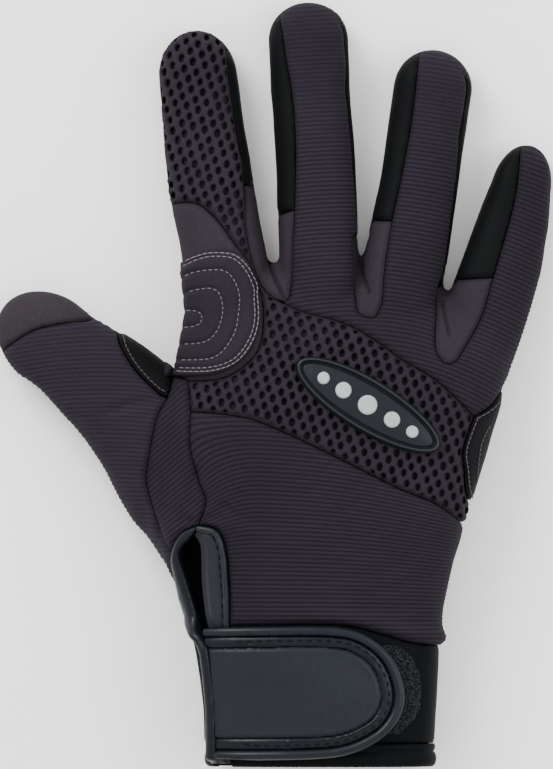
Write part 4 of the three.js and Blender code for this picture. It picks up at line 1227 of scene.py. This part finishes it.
def stitch_rows(name, rows, material, length=1.7, gap=0.9, radius=0.2, steepest=0.12):
    """Rows are (line, height above the skin). Each stitch is a bar with sunk ends."""
    bar = np.array([(-0.5, 0.35, -0.6), (-0.3, 1.0, 0.35), (0.0, 1.1, 0.8), (0.3, 1.0, 0.35), (0.5, 0.35, -0.6)])
    sides = 6
    angle = 2 * math.pi * np.arange(sides) / sides
    all_points, all_faces = [], []
    for line, lift in rows:
        steps = np.hypot(*np.diff(line, axis=0).T)
        reach = np.concatenate([[0], np.cumsum(steps)])
        for start in np.arange(gap / 2, reach[-1] - length, length + gap):
            spots = [np.array([np.interp(start + k * length, reach, line[:, axis]) for axis in (0, 1)])
                     for k in (0, 0.5, 1)]
            hits = [skin_tree.ray_cast(Vector((*spot, 90)), Vector((0, 0, -1))) for spot in spots]
            if any(hit[0] is None or hit[1].z < steepest for hit in hits):
                continue
            ends = [np.array(hit[0] + hit[1] * lift) for hit in (hits[0], hits[2])]
            normal = np.array(hits[1][1])
            ahead = ends[1] - ends[0]
            size = np.linalg.norm(ahead)
            if size > 3 * length or size < 0.2:
                continue
            side = np.cross(ahead / size, normal)
            middle = (ends[0] + ends[1]) / 2
            base = len(all_points)
            for share, thickness, up in bar:
                centre = middle + ahead * share + normal * up * radius
                for c, s in zip(np.cos(angle), np.sin(angle)):
                    all_points.append(centre + (side * c + normal * s) * radius * thickness)
            for r in range(len(bar) - 1):
                for i in range(sides):
                    j = (i + 1) % sides
                    all_faces.append([base + r * sides + i, base + r * sides + j,
                                      base + (r + 1) * sides + j, base + (r + 1) * sides + i])
            all_faces.append([base + i for i in reversed(range(sides))])
            all_faces.append([base + (len(bar) - 1) * sides + i for i in range(sides)])
    points = np.array(all_points)
    new_object(name, points, all_faces, material, None, {"edge": np.ones(len(points))})


stitch_rows("pad_stitches", [(line, PAD_SEAT + PAD_RISE - 0.85) for line in pad_stitch_lines], thread,
            1.5, 0.12, 0.19, 0.35)
stitch_rows("patch_stitches", [
    (inset(web_patch_edge, 0.8), 0.75),
    (inset(side_patch_edge, 0.5), 0.75), (inset(side_patch_top, -0.5), 0.75),
    (smooth(hand_line((0.577, 0.707), (0.552, 0.672), (0.543, 0.637), (0.537, 0.603), (0.540, 0.579))), 0.85),
], patch_thread, 1.4, 0.12, 0.19)
strap_stitch_line = inset(closed(strap_rim[1] + (8, 0.2), strap_rim[2:], strap_rim[0] + (8, 0)), -4.5)
stitch_rows("strap_stitches", [(strap_stitch_line, STRAP_SEAT + 1.8), (inset(spans(binding_right, 1, 4), -2.25), 0.0)],
            dark_thread, 1.9, 1.1, 0.22)


def make_fibres():
    """Loose ends on the loop patch, where the strap leaves it bare."""
    random = np.random.default_rng(5)
    spots = random.uniform((22, 6), (38, 40), (2200, 2))
    bare = (outline_field(spots, loop_rim) < -0.3) & (outline_field(spots, strap_rim) > -0.5)
    turn = random.uniform(0, 2 * math.pi, bare.sum())
    reach = np.column_stack([np.cos(turn), np.sin(turn)]) * 0.45
    rows = [(np.array([spot - step, spot + step]), lift) for spot, step, lift in
            zip(spots[bare], reach, random.uniform(1.35, 1.75, bare.sum()))]
    stitch_rows("loop_fibres", rows, fibre, 0.85, 0.02, 0.07)


make_fibres()


# Floor, light and camera

def make_stage():
    mesh = bpy.data.meshes.new("floor")
    size = 3.0
    mesh.from_pydata([(-size, -size, 0), (size, -size, 0), (size, size, 0), (-size, size, 0)], [], [(0, 1, 2, 3)])
    floor = bpy.data.objects.new("floor", mesh)
    bpy.context.scene.collection.objects.link(floor)
    material = bpy.data.materials.new("floor_paint")
    material.use_nodes = True
    material.node_tree.nodes["Principled BSDF"].inputs["Base Color"].default_value = (0.96, 0.96, 0.96, 1)
    material.node_tree.nodes["Principled BSDF"].inputs["Roughness"].default_value = 0.9
    mesh.materials.append(material)
    world = bpy.data.worlds.new("studio")
    bpy.context.scene.world = world
    world.use_nodes = True
    world.node_tree.nodes["Background"].inputs["Color"].default_value = (1, 1, 1, 1)
    world.node_tree.nodes["Background"].inputs["Strength"].default_value = 1.6
    lamps = [((-0.6, 0.8, 0.8), 0.6, 20), ((0.8, 0.1, 0.8), 0.6, 6)]
    for i, (spot, width, power) in enumerate(lamps):
        data = bpy.data.lights.new(f"lamp_{i}", "AREA")
        data.size = width
        data.energy = power
        lamp = bpy.data.objects.new(f"lamp_{i}", data)
        lamp.location = spot
        lamp.rotation_euler = Vector(spot).to_track_quat("Z", "Y").to_euler()
        bpy.context.scene.collection.objects.link(lamp)


def make_camera():
    """Straight above the glove, far enough for the photo's flat view."""
    distance, view_height = 6.0, 0.2384
    data = bpy.data.cameras.new("camera")
    data.sensor_fit = "VERTICAL"
    data.sensor_height = 24
    data.lens = 24 * (distance - 0.015) / view_height
    camera = bpy.data.objects.new("camera", data)
    camera.location = (0, 0, distance)
    bpy.context.scene.collection.objects.link(camera)
    bpy.context.scene.camera = camera


make_stage()
make_camera()
